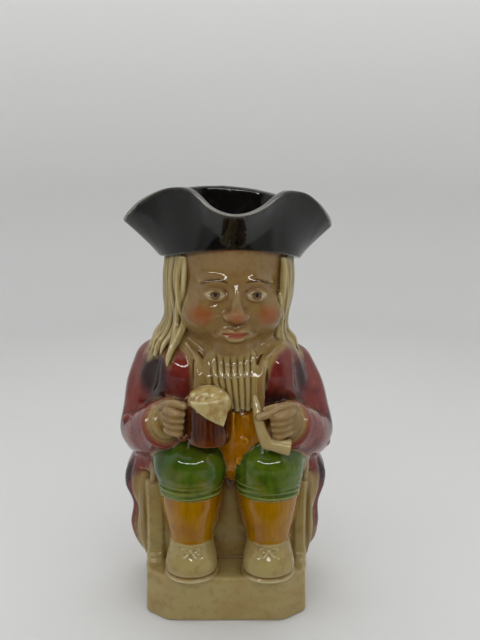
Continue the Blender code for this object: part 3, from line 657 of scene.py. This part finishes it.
wander = np.random.default_rng(11)
locks = []
for side, (count, flare, first, hug) in HAIR_SIDES.items():
    for i in range(count):
        angle = first + (180 - first) * (i + 0.1) / (count - 0.4)
        sway, lean, drop = wander.uniform(-2.4, 2.4), wander.uniform(-2.5, 3), wander.uniform(-3.5, 4)
        stand = wander.uniform(-0.6, 1)
        path = [(angle, 33.4 + stand * 0.3, 201), (angle + sway * 0.6, 33.8 + stand, 190),
                (angle - sway, 33.4 + stand, 178), (angle + sway * 0.8, 33 + stand - hug * 0.3, 167),
                (angle + lean, 35 + stand + flare * 0.6 - hug, 158.5),
                (angle + lean * 1.8, 38 + stand + flare - hug * 0.6, 151.5 + drop),
                (angle + lean * 2.4, 40 + stand + flare - hug * 0.3, 146 + drop)]
        path = [head_point(side * turn, out, up) for turn, out, up in path]
        fat = wander.uniform(0.85, 1.15)
        locks.append(rolled(head_line(path), [fat * thick for thick in LOCK_THICK], bends=4))


def hair_shape(x, y, z):
    """All the locks together, with the fine grooves that the comb leaves along them."""
    skin = nothing_at(x, y, z)
    for low, high, lock in locks:
        skin = merge(skin, lock(x, y, z), 1.8)
    round_it = np.arctan2(x - HEAD_MIDDLE.x, -y) * HAIR_OUT
    comb = np.sin(round_it * (math.pi / COMB_ACROSS) + 1.8 * np.sin(z / 8 + round_it / 9))
    return skin + COMB_DEPTH * comb * np.clip((z - 142) / 8, 0, 1)


hair_low = np.min([low for low, high, lock in locks], 0)
hair_high = np.max([high for low, high, lock in locks], 0)
press(on_head(ball((0, 5, 180), (33, 30.5, 30))), "hair", 1.5)
press((hair_low, hair_high, hair_shape), "hair", 0.7, reach=3.5)

# ---- Hat ----
# A black three-cornered hat, open above: it is the mouth of the jug, and its front corner the lip.
# The brim flares from the head and is turned up high between the corners.
# Each row: angle round from the front (minus is towards the mug), distance from the middle, height.
BRIM = ((-180, 42.5, 233.6), (-150, 42.8, 232.5), (-125, 44, 229), (-110, 48.6, 224.5), (-99, 54.4, 221),
        (-89, 59, 218.4), (-81, 57.8, 223.2), (-72, 53.6, 230.2), (-61, 47.8, 236), (-49, 43.8, 238.4),
        (-38, 43.2, 238), (-29, 45.2, 235), (-21, 48.4, 231.2), (-13, 50.6, 228.6), (-5.5, 51.6, 227.7),
        (3, 50.8, 228.6), (13, 48.4, 231.6), (24, 45, 235.6), (35, 42.7, 238), (47, 42.6, 237.8),
        (60, 45.8, 235.2), (71, 50.8, 229), (80, 55.2, 222.2), (89, 57.2, 216.8), (98, 53.2, 219.4),
        (109, 47.6, 223.2), (125, 43.8, 228.5), (150, 42.8, 232), (180, 42.5, 233.6))
BAND = ((-180, 38.4, 204), (-130, 38.8, 201), (-90, 38.6, 198.6), (-60, 38, 202), (-30, 37.2, 206.2),
        (-14, 35, 207.3), (0, 34.2, 207.6), (14, 35, 207.3), (30, 37.4, 206.2), (60, 38.8, 202),
        (90, 39.4, 198), (130, 39, 201), (180, 38.4, 204))
HAT_WALL, FLARE = 5, 1.15
brim_at, band_at = keyed(BRIM), keyed(BAND)


def hat_shape(x, y, z):
    """The hat's shell: between its flaring outside and its inside, and under the wavy brim."""
    out = np.hypot(x, y)
    angle = np.degrees(np.arctan2(x, -y))
    (rim_out, rim_z), (band_out, band_z) = brim_at(angle), band_at(angle)
    beside = (brim_at(angle + 1)[0] - brim_at(angle - 1)[0]) / math.radians(2)
    t = np.clip((z - band_z) / (rim_z - band_z), 0, 1.2)
    wall = band_out + (rim_out - band_out) * t ** FLARE
    steep = (rim_out - band_out) * FLARE * np.maximum(t, 0.05) ** (FLARE - 1) / (rim_z - band_z)
    aslant = 1 / np.sqrt(1 + steep ** 2 + (beside * t / np.maximum(out, 20)) ** 2)
    outside = (out - wall) * aslant
    inside = (wall - HAT_WALL * np.minimum(1.8, np.hypot(1, beside * t / rim_out)) - out) * aslant
    turned_up = within(within(outside, inside, 0.6), (z - rim_z) * 0.85, 1.4)
    return within(turned_up, band_z - z, 1)


press(on_head(((-62, -53, 196), (60, 44, 240), hat_shape)), "hat", 0.5, reach=4)

# ---- Handle ----
# A plain loop handle, pulled from a strip of clay and luted on behind, from the hair to the coat tails.
HANDLE = ((0, 34, 196), (0, 50, 199), (0, 66, 192), (0, 76.5, 172), (0, 79, 148), (0, 75, 122),
          (0, 64, 100), (0, 50, 86), (0, 40, 78))
press(rolled(HANDLE, (7.5, 6.4, 6.2, 6.2, 6.2, 6.2, 6.2, 6.6, 8)), "cream", 4)

# ---- The hollow and the foot ----
# The slip is poured out of the mould to leave a wall of about 4 to 6 mm. Inside the foot rim is a
# shallow hollow.
# Each row: height, half width, reach to the front, reach to the back.
HOLLOW = ((6, 34, 34, 32), (9, 37, 37, 35), (17, 37.5, 37, 36), (22, 37.5, 16, 37), (40, 41, 14, 40),
          (64, 43, 13, 42), (82, 42, 16, 39), (100, 41, 21, 37), (122, 41, 26, 36), (134, 38, 25, 34),
          (144, 32, 22, 29), (152, 25, 20, 24), (160, 23, 22, 25), (174, 25, 25, 27), (198, 27, 25.5, 27.5),
          (206, 28, 27, 28), (216, 29.5, 30, 29.5))
HOLLOW_SQUARE = 2.4
hollow_at = keyed(HOLLOW)


def hollow_shape(x, y, z):
    skin = rounded_square(x, y, *hollow_at(z), HOLLOW_SQUARE)
    return within(skin, np.maximum(HOLLOW[0][0] - z, z - HOLLOW[-1][0]), 4)


scoop(((-44, -38, HOLLOW[0][0]), (44, 43, HOLLOW[-1][0]), hollow_shape), 1)
scoop(slab((-36, -36, -6), (36, 34, 2)))
clay[:, :, tall < 0] = np.maximum(clay[:, :, tall < 0], -tall[tall < 0])

# ---- Casting ----
# The skin of the clay is taken off the plot as one closed mesh. The inside is left coarse, and what
# is small outside is kept: every corner is then set exactly on the skin.
MOST_FACES = 194000
HELD = 0.004                       # how hard the thinning avoids long edges outside
BY_HOLLOW, IN_HOLLOW = 1.2, 1.6    # what is this near the hollow is thinned freely, and is glazed as inside
SETTLE_MOST = 0.3                  # how far a corner may move each time it is set on the skin
OFF_MIDDLE = (0.07, -11.87, 0.0)   # from the figure's own middle to the middle of the jug's whole footprint


def read_off(plot, places):
    """The plot's value at any places, read between its grains."""
    where = (places - np.array(PLOT_LOW)) / GRAIN
    where = np.clip(where, 0, np.array(plot.shape) - 1.001)
    low = where.astype(int)
    part = where - low
    total = 0
    for corner in np.ndindex(2, 2, 2):
        share = np.prod(np.where(corner, part, 1 - part), axis=1)
        total = total + share * plot[tuple((low + corner).T)]
    return total


def steepness(places):
    """Which way leads out of the clay fastest at the places."""
    return np.column_stack([read_off(clay, places + push) - read_off(clay, places - push)
                            for push in np.eye(3) * GRAIN]) / (2 * GRAIN)


def made_of(name, points, faces):
    """A mesh of points and of faces that all have the same number of sides."""
    mesh = bpy.data.meshes.new(name)
    mesh.vertices.add(len(points))
    mesh.vertices.foreach_set("co", np.ascontiguousarray(points, np.float32).ravel())
    mesh.loops.add(faces.size)
    mesh.loops.foreach_set("vertex_index", np.ascontiguousarray(faces, np.int32).ravel())
    mesh.polygons.add(len(faces))
    mesh.polygons.foreach_set("loop_start", np.arange(0, faces.size, faces.shape[1], dtype=np.int32))
    mesh.update(calc_edges=True)
    return mesh


def set_up(name, data):
    """Puts a thing in the scene."""
    thing = bpy.data.objects.new(name, data)
    bpy.context.scene.collection.objects.link(thing)
    return thing


near_skin = np.clip(clay, -3, 3)
mould = openvdb.FloatGrid(FAR)
mould.copyFromArray(near_skin)
points, _, quads = mould.convertToPolygons(isovalue=0.0, adaptivity=0.0)
points = points * GRAIN + np.array(PLOT_LOW)
halves = np.concatenate([quads[:, [0, 1, 2]], quads[:, [0, 2, 3]]])
jug = set_up("toby_jug_glazed", made_of("toby_jug_glazed", points, halves))

inside = np.abs(hollow_shape(*points.T)) < BY_HOLLOW
keep = jug.vertex_groups.new(name="thinning")
keep.add(np.flatnonzero(inside).tolist(), 1.0, "REPLACE")
keep.add(np.flatnonzero(~inside).tolist(), 0.5, "REPLACE")
thin = jug.modifiers.new("thinning", "DECIMATE")
thin.ratio = min(1.0, MOST_FACES / len(halves))
thin.vertex_group = "thinning"
thin.vertex_group_factor = HELD
bpy.context.view_layer.update()
casting = bpy.data.meshes.new_from_object(jug.evaluated_get(bpy.context.evaluated_depsgraph_get()))
jug.modifiers.clear()
jug.vertex_groups.clear()
jug.data = casting
casting.name = "toby_jug_glazed"

places = np.empty(len(casting.vertices) * 3, np.float32)
casting.vertices.foreach_get("co", places)
places = places.reshape(-1, 3).astype(float)
for settle in range(3):
    uphill = steepness(places)
    steep = np.maximum((uphill ** 2).sum(1), 0.2)
    places -= np.clip((read_off(clay, places) / steep)[:, None] * uphill, -SETTLE_MOST, SETTLE_MOST)

# ---- Glaze ----
# Colours are brushed over the biscuit by hand and run a little under a clear lead glaze, which is
# thin on edges and pools brown in the hollows. The hollows are also darkened as painted shade, and
# edges and ridges are lightened partly as painted highlight. Each colour's reach is kept in millimetres.
GLAZES = ("cream", "neckcloth", "lining", "froth", "pipe", "coat", "waistcoat", "breeches", "stocking",
          "mug", "skin", "hair", "hat")
TOUCHES = ("fold_shade", "faint", "shade_and_foot_brown", "white", "iris", "pupil", "line", "brow", "lips", "blush")
reach_of = {name: np.full(len(places), FAR, np.float32) for name in GLAZES + TOUCHES}
for name, low, high, shape in painted:
    near = np.flatnonzero(((places > np.array(low) - FAR) & (places < np.array(high) + FAR)).all(1))
    here = shape(*places[near].astype(np.float32).T)
    reach_of[name][near] = np.minimum(reach_of[name][near], here)
stack = np.stack([reach_of[name] for name in GLAZES])


def keep_on_mesh(name, values):
    casting.attributes.new(name, "FLOAT", "POINT").data.foreach_set("value", np.asarray(values, np.float32))


def blurred(plot, grains):
    """The plot with each grain averaged over its neighbours, along one side after another."""
    for side in range(3):
        run = np.cumsum(plot, axis=side, dtype=np.float32)
        at = np.arange(run.shape[side])
        ahead = np.take(run, np.minimum(at + grains, at[-1]), axis=side)
        behind = np.take(run, np.maximum(at - grains - 1, 0), axis=side)
        plot = (ahead - behind) / (2 * grains + 1)
    return plot


for i, name in enumerate(GLAZES):
    keep_on_mesh("reach_" + name, np.clip(np.delete(stack, i, axis=0).min(0) - stack[i], -FAR, FAR))
for name in TOUCHES:
    keep_on_mesh("reach_" + name, -reach_of[name])
# How far each corner lies in a hollow or on a ridge, small and wide: the paint uses it for glaze and
# painted shade in the hollows, and for thin glaze and painted highlight on edges and ridges.
for name, size in (("hollows_small", 1.0), ("hollows_wide", 2.6)):
    keep_on_mesh(name, -read_off(blurred(near_skin, int(size / GRAIN)), places) / size)
keep_on_mesh("within", np.abs(hollow_shape(*places.astype(np.float32).T)) < IN_HOLLOW)

facing = steepness(places)
facing /= np.maximum(np.linalg.norm(facing, axis=1), 1e-6)[:, None]
casting.vertices.foreach_set("co", ((places + OFF_MIDDLE) * MM).astype(np.float32).ravel())
casting.update()
casting.polygons.foreach_set("use_smooth", np.ones(len(casting.polygons), bool))
casting.normals_split_custom_set_from_vertices(facing)


def bare_material(name):
    """A material with nothing in it yet, and its nodes and links."""
    made = bpy.data.materials.new(name)
    made.use_nodes = True
    made.node_tree.nodes.clear()
    return made, made.node_tree.nodes, made.node_tree.links


glaze, nodes, links = bare_material("glazed_earthenware")


def node(kind, inputs=(), **settings):
    """A node with its settings, and sockets filled with a value or with another node's output."""
    made = nodes.new("ShaderNode" + kind)
    for name, value in settings.items():
        setattr(made, name, value)
    for socket, value in dict(inputs).items():
        if isinstance(value, bpy.types.NodeSocket):
            links.new(value, made.inputs[socket])
        else:
            made.inputs[socket].default_value = value
    return made


def sums(operation, *values):
    return node("Math", enumerate(values), operation=operation).outputs[0]


def times(one, other):
    return sums("MULTIPLY", one, other)


def ramp(value, low, high):
    """Rises smoothly from 0 to 1 as the value goes from low to high."""
    return node("MapRange", {"Value": value, "From Min": low, "From Max": high},
                interpolation_type="SMOOTHSTEP").outputs[0]


def kept(name):
    return node("Attribute", attribute_name=name).outputs["Fac"]


def blend(share, one, other):
    return node("Mix", {0: share, 6: one, 7: other}, data_type="RGBA").outputs[2]


spot = node("TexCoord").outputs["Object"]


def cloud(size, detail=2.0, stretch=(1, 1, 1), rough=0.5):
    """Cloudy variation; size is in millimetres."""
    placed = node("Mapping", {"Vector": spot, "Scale": stretch}).outputs[0]
    return node("TexNoise", {"Vector": placed, "Scale": 1 / (size * MM), "Detail": detail,
                             "Roughness": rough}).outputs["Fac"]


def colour(red, green, blue):
    """A colour from its everyday 0 to 255 values."""
    return tuple((v / 255) ** 2.2 for v in (red, green, blue)) + (1,)


wobble = times(sums("SUBTRACT", cloud(3.0, 3), 0.5), 1.3)
streaks = cloud(1.6, 3, (1, 1, 0.10))
runs = cloud(8, 3, (1, 1, 0.35))
bands = cloud(7, 3, (0.3, 0.3, 1))
patches = cloud(17, 2)
mottle = cloud(5, 3, rough=0.6)
specks = cloud(1.1, 2, rough=0.7)
sharp, wide = kept("hollows_small"), kept("hollows_wide")
# Hollows are darkened, partly as glaze that gathers there and partly as painted shade; edges and ridges are
# lightened, partly as thin glaze and partly as painted highlight.
pooled_and_shade, deep_pool_and_shade = ramp(sharp, 0.03, 0.26), ramp(wide, 0.04, 0.30)
worn_and_highlight, crest_and_highlight = ramp(sharp, -0.05, -0.26), ramp(wide, -0.06, -0.32)


def spread_in(name, low, high, waver=1.0):
    """How far inside a colour's edge a place is, with the wavering line of the brush."""
    return ramp(sums("ADD", kept("reach_" + name), times(wobble, waver)), low, high)


def washed(ground, *washes):
    """A ground colour with washes over it, each given as (where, how strong, colour)."""
    mixed = colour(*ground)
    for where, strength, over in washes:
        mixed = blend(times(where, strength), mixed, colour(*over))
    return mixed


cream = washed(
    (170, 153, 100), (ramp(patches, 0.35, 0.7), 0.6, (162, 137, 83)),
    (ramp(bands, 0.42, 0.72), 0.3, (150, 112, 60)), (ramp(mottle, 0.5, 0.68), 0.4, (136, 108, 60)),
    (deep_pool_and_shade, 0.65, (148, 104, 40)), (pooled_and_shade, 0.85, (92, 56, 18)), (worn_and_highlight, 0.5, (220, 208, 168)),
    (ramp(specks, 0.66, 0.74), 0.3, (140, 104, 52)),
    # Painted shade between the shins, and a browner tone round the foot of the base.
    (spread_in("shade_and_foot_brown", -3.0, 2.5, 2.0), 0.25, (128, 84, 36)))
paints = {
    # Painted shade: the neckcloth and the lining, which makes the lapels, are a darker, browner cream than
    # the body, for the shade under the chin and the hat; the neckcloth is darker still between its pleats.
    "neckcloth": washed(
        (152, 131, 80), (ramp(sharp, -0.04, 0.18), 0.9, (84, 50, 16)), (deep_pool_and_shade, 0.5, (110, 74, 34)),
        (worn_and_highlight, 0.5, (204, 188, 140))),
    "lining": washed(
        (144, 119, 73), (ramp(runs, 0.4, 0.7), 0.5, (120, 88, 48)), (deep_pool_and_shade, 0.7, (128, 84, 36)),
        (pooled_and_shade, 0.85, (84, 48, 16)), (worn_and_highlight, 0.5, (206, 188, 140))),
    "froth": washed(
        (184, 164, 108), (ramp(mottle, 0.45, 0.65), 0.6, (140, 98, 44)),
        (ramp(specks, 0.55, 0.68), 0.3, (128, 86, 36)), (pooled_and_shade, 0.8, (96, 54, 20)),
        (worn_and_highlight, 0.5, (224, 214, 176))),
    "pipe": washed(
        (172, 152, 104), (ramp(runs, 0.4, 0.7), 0.3, (140, 108, 66)), (pooled_and_shade, 0.8, (96, 60, 26))),
    "coat": washed(
        (126, 54, 45), (ramp(mottle, 0.35, 0.7), 0.6, (98, 36, 38)),
        (ramp(patches, 0.5, 0.75), 0.6, (142, 76, 66)), (ramp(runs, 0.46, 0.66), 0.55, (80, 26, 33)),
        (deep_pool_and_shade, 0.85, (56, 18, 22)), (pooled_and_shade, 0.6, (46, 16, 20)), (crest_and_highlight, 0.2, (152, 76, 62)),
        # Painted shade: a dark purple-red in the coat's folds.
        (worn_and_highlight, 0.4, (190, 128, 104)), (spread_in("fold_shade", -6.0, 3.0), 0.92, (30, 10, 15))),
    "waistcoat": washed(
        (168, 108, 6), (ramp(streaks, 0.35, 0.65), 0.5, (142, 84, 4)), (deep_pool_and_shade, 0.85, (84, 50, 6)),
        (pooled_and_shade, 0.8, (66, 36, 6)), (worn_and_highlight, 0.5, (214, 158, 50))),
    # The breeches are paler on their edges and knees, partly as thin glaze and partly as a painted
    # highlight.
    "breeches": washed(
        (88, 106, 28), (ramp(mottle, 0.4, 0.66), 0.5, (56, 88, 26)),
        (ramp(patches, 0.48, 0.7), 0.6, (118, 102, 36)),
        (ramp(cloud(26, 1), 0.45, 0.7), 0.6, (40, 80, 24)), (ramp(runs, 0.48, 0.64), 0.55, (44, 58, 18)),
        (deep_pool_and_shade, 0.85, (40, 50, 14)), (pooled_and_shade, 0.8, (38, 40, 12)), (worn_and_highlight, 0.6, (150, 160, 88))),
    "stocking": washed(
        (164, 116, 4), (ramp(streaks, 0.35, 0.65), 0.4, (142, 92, 3)),
        (ramp(patches, 0.45, 0.7), 0.6, (140, 84, 4)), (deep_pool_and_shade, 0.7, (100, 58, 6)),
        (pooled_and_shade, 0.7, (84, 46, 8)), (worn_and_highlight, 0.5, (206, 158, 56))),
    "mug": washed(
        (78, 36, 10), (ramp(streaks, 0.4, 0.65), 0.7, (46, 18, 4)),
        (ramp(patches, 0.5, 0.7), 0.5, (120, 66, 24)), (worn_and_highlight, 0.4, (140, 84, 40))),
    "skin": washed(
        (141, 114, 72), (ramp(mottle, 0.35, 0.7), 0.5, (124, 92, 52)), (deep_pool_and_shade, 0.6, (132, 84, 42)),
        (pooled_and_shade, 0.75, (96, 54, 22)), (worn_and_highlight, 0.3, (214, 188, 142)),
        (ramp(kept("reach_blush"), -3.5, 3.0), 0.65, (150, 70, 38))),
    # The hair darkens in the comb's grooves, partly as glaze that gathers there and partly as painted
    # shade.
    "hair": washed(
        (172, 152, 100), (ramp(streaks, 0.35, 0.65), 0.6, (140, 118, 68)),
        (deep_pool_and_shade, 0.7, (104, 80, 36)), (ramp(sharp, -0.02, 0.18), 0.85, (78, 58, 26)),
        (worn_and_highlight, 0.6, (216, 202, 156))),
    # The hat's rim is lighter at its edges: the glaze runs thin there, and the bright line along the rim is
    # a painted highlight.
    "hat": washed(
        (22, 21, 20), (worn_and_highlight, 0.35, (104, 98, 86)), (ramp(sharp, -0.18, -0.24), 0.42, (200, 196, 186)),
        (ramp(specks, 0.62, 0.72), 0.12, (70, 60, 48))),
    "within": washed(
        (206, 190, 146), (ramp(patches, 0.4, 0.7), 0.5, (190, 168, 118))),
}
# The coat's colour is thin where it was laid on faintly and along its edge, so that cream shows through.
coat = blend(times(spread_in("faint", -4.0, 2.0, 3.0), 0.75), paints["coat"], cream)
paints["coat"] = blend(spread_in("coat", 0.1, 3.2, 1.5), blend(0.4, cream, coat), coat)
for touch, soft, strength, paint in (
        ("lips", 0.5, 0.75, (158, 74, 56)), ("white", 0.3, 0.9, (214, 204, 172)),
        ("iris", 0.25, 0.9, (104, 72, 34)), ("pupil", 0.25, 0.95, (30, 20, 14)),
        ("line", 0.3, 0.8, (66, 36, 18)), ("brow", 0.4, 0.85, (66, 40, 18))):
    share = times(ramp(kept("reach_" + touch), -soft, soft), strength)
    paints["skin"] = blend(share, paints["skin"], colour(*paint))

BRUSHED_EDGE = dict.fromkeys(paints, 0.35) | {"coat": 0.6, "hat": 0.2}
body = cream
for name, paint in paints.items():
    laid = kept("within") if name == "within" else spread_in(name, -BRUSHED_EDGE[name], BRUSHED_EDGE[name])
    body = blend(laid, body, paint)


def finished(inputs):
    """Closes a material with its surface."""
    node("OutputMaterial", {"Surface": node("BsdfPrincipled", inputs).outputs[0]})


ripple = node("Bump", {"Height": sums("ADD", cloud(5.0, 2), times(specks, 0.06)), "Strength": 0.18,
                       "Distance": 0.0006}).outputs[0]
finished({"Base Color": body, "Roughness": 0.5, "Specular IOR Level": 0.0, "Coat Weight": 1.0,
          "Coat Roughness": 0.04, "Coat IOR": 1.48, "Normal": ripple, "Coat Normal": ripple})
casting.materials.append(glaze)

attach(jug, "root")
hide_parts("toby_jug")

# ---- Studio ----
# A round tent of pale paper: a flat floor that curves up into the wall, lit softly from above and all
# round. Two black cards, one bent round the front of the jug and one flat before it, are seen only in
# the glaze and in the light on the jug, and only from the side that faces the jug.
TENT_FLAT, TENT_FILLET, TENT_HIGH, TENT_SIDES = 0.62, 0.16, 1.5, 96
profile = [(0.02, 0.0), (0.3, 0.0), (TENT_FLAT, 0.0)]
profile += [(TENT_FLAT + TENT_FILLET * math.sin(a), TENT_FILLET * (1 - math.cos(a)))
            for a in np.linspace(0.12, math.pi / 2, 14)]
profile += [(TENT_FLAT + TENT_FILLET, z) for z in np.linspace(0.3, TENT_HIGH, 6)]
turns = np.linspace(0, math.tau, TENT_SIDES, endpoint=False)
corners = np.array([(r * math.sin(t), -r * math.cos(t), z) for t in turns for r, z in profile])
here = np.arange(len(corners)).reshape(TENT_SIDES, len(profile))
beside = np.roll(here, -1, axis=0)
strips = np.stack([here[:, :-1], beside[:, :-1], beside[:, 1:], here[:, 1:]], axis=-1).reshape(-1, 4)
tent = set_up("paper_tent", made_of("paper_tent", corners, strips))
tent.data.polygons.foreach_set("use_smooth", np.ones(len(strips), bool))

paper, nodes, links = bare_material("paper")
# How brightly the paper glows, by height in metres: not at all at the floor, most at the top.
PAPER_GLOW = ((0.0, 0.0), (0.16, 0.0), (0.30, 0.06), (0.60, 0.25), (1.5, 0.36))
height = node("SeparateXYZ", {0: node("TexCoord").outputs["Object"]}).outputs[2]
lit = node("ValToRGB", {0: sums("DIVIDE", height, TENT_HIGH)}).outputs[0]
steps = lit.node.color_ramp.elements
for i, (z, tone) in enumerate(PAPER_GLOW):
    step = steps[i] if i < 2 else steps.new(z / TENT_HIGH)
    step.position, step.color = z / TENT_HIGH, (tone, tone, tone * 0.985, 1)
finished({"Base Color": (0.76, 0.765, 0.76, 1), "Roughness": 0.9, "Specular IOR Level": 0.0,
          "Emission Color": lit, "Emission Strength": 1.0})
tent.data.materials.append(paper)

CARD_AWAY, CARD_HIGH, CARD_LAID = 0.72, 1.1, 0.003
black, nodes, links = bare_material("black_card")
card_x, card_y, card_z = node("SeparateXYZ", {0: node("TexCoord").outputs["Object"]}).outputs
# The cards fade out towards their edges: the bent one to its sides, foot and top, the flat one to its
# sides and towards the jug.
aside = sums("ABSOLUTE", card_x)
upright = ramp(card_z, 0.01, 0.12)
ends = ramp(sums("ARCTAN2", aside, times(card_y, -1.0)), math.radians(61), math.radians(48))
bent = times(times(upright, ends), ramp(card_z, 1.05, 0.8))
nearby = sums("MAXIMUM", ramp(aside, 0.14, 0.06), times(ramp(aside, 0.42, 0.25), 0.5))
flat = times(sums("SUBTRACT", 1.0, upright), times(nearby, ramp(card_y, -0.08, -0.12)))
one_sided = sums("SUBTRACT", 1.0, node("NewGeometry").outputs["Backfacing"])
cover = times(sums("ADD", bent, flat), one_sided)
finished({"Base Color": (0.03, 0.03, 0.03, 1), "Roughness": 1.0, "Specular IOR Level": 0.0, "Alpha": cover})
CARDS = {"black_card": [(CARD_AWAY * math.sin(a), -CARD_AWAY * math.cos(a), z)
                        for a in np.radians(np.linspace(62, -62, 25)) for z in (0.0, CARD_HIGH)],
         "black_card_below": [(x, y, CARD_LAID) for x in (-0.5, 0.5) for y in (-0.60, -0.08)]}
for name, corners in CARDS.items():
    strips = np.array([(i, i + 2, i + 3, i + 1) for i in range(0, len(corners) - 2, 2)])
    card = set_up(name, made_of(name, np.array(corners), strips))
    card.visible_camera = card.visible_shadow = False
    card.visible_diffuse = name == "black_card"     # the flat one only shows in the glaze
    card.data.materials.append(black)


def panel(name, place, aim, wide, high, power):
    """A soft lamp."""
    light = bpy.data.lights.new(name, "AREA")
    light.shape, light.size, light.size_y, light.energy = "RECTANGLE", wide, high, power
    lamp = set_up(name, light)
    lamp.location = place
    lamp.rotation_euler = (Vector(aim) - Vector(place)).to_track_quat("-Z", "Y").to_euler()


panel("lamp_top", (0, 0.08, 1.0), (0, 0.02, 0), 0.7, 0.7, 2.3)
for name, back in (("lamp_strip_front", -0.16), ("lamp_strip_back", 0.16)):
    panel(name, (0, back, 0.78), (0, 0, 0.1), 0.5, 0.02, 0.35)
# A bow of small bright lamps over the camera, which makes the glints in the glaze.
BOW_AWAY, BOW_TURN, BOW_UP, BOW_RISE, BOW_POWER = 0.52, 38.0, 31.5, 3.0, 0.14
for i, turn in enumerate(np.linspace(-BOW_TURN, BOW_TURN, 9)):
    a, up = math.radians(turn), math.radians(BOW_UP + BOW_RISE * (turn / BOW_TURN) ** 2)
    place = (BOW_AWAY * math.sin(a), -BOW_AWAY * math.cos(a), 0.1 + BOW_AWAY * math.tan(up))
    panel(f"lamp_bow_{i}", place, (0, 0, 0.12), 0.08, 0.033, BOW_POWER)

world = bpy.data.worlds.new("dim_room")
world.use_nodes = True
room = world.node_tree.nodes["Background"]
room.inputs["Color"].default_value = (0.80, 0.81, 0.80, 1)
room.inputs["Strength"].default_value = 0.15
bpy.context.scene.world = world
bpy.context.scene.view_settings.view_transform = "Standard"

CAMERA_AT, CAMERA_DOWN, CAMERA_LENS = (0.00727, -0.49587, 0.283), 14.0, 50.0
eye = bpy.data.cameras.new("camera")
eye.lens = CAMERA_LENS
eye.clip_start = 0.01
camera = set_up("camera", eye)
camera.location = CAMERA_AT
camera.rotation_euler = (math.radians(90 - CAMERA_DOWN), 0, 0)
bpy.context.scene.camera = camera
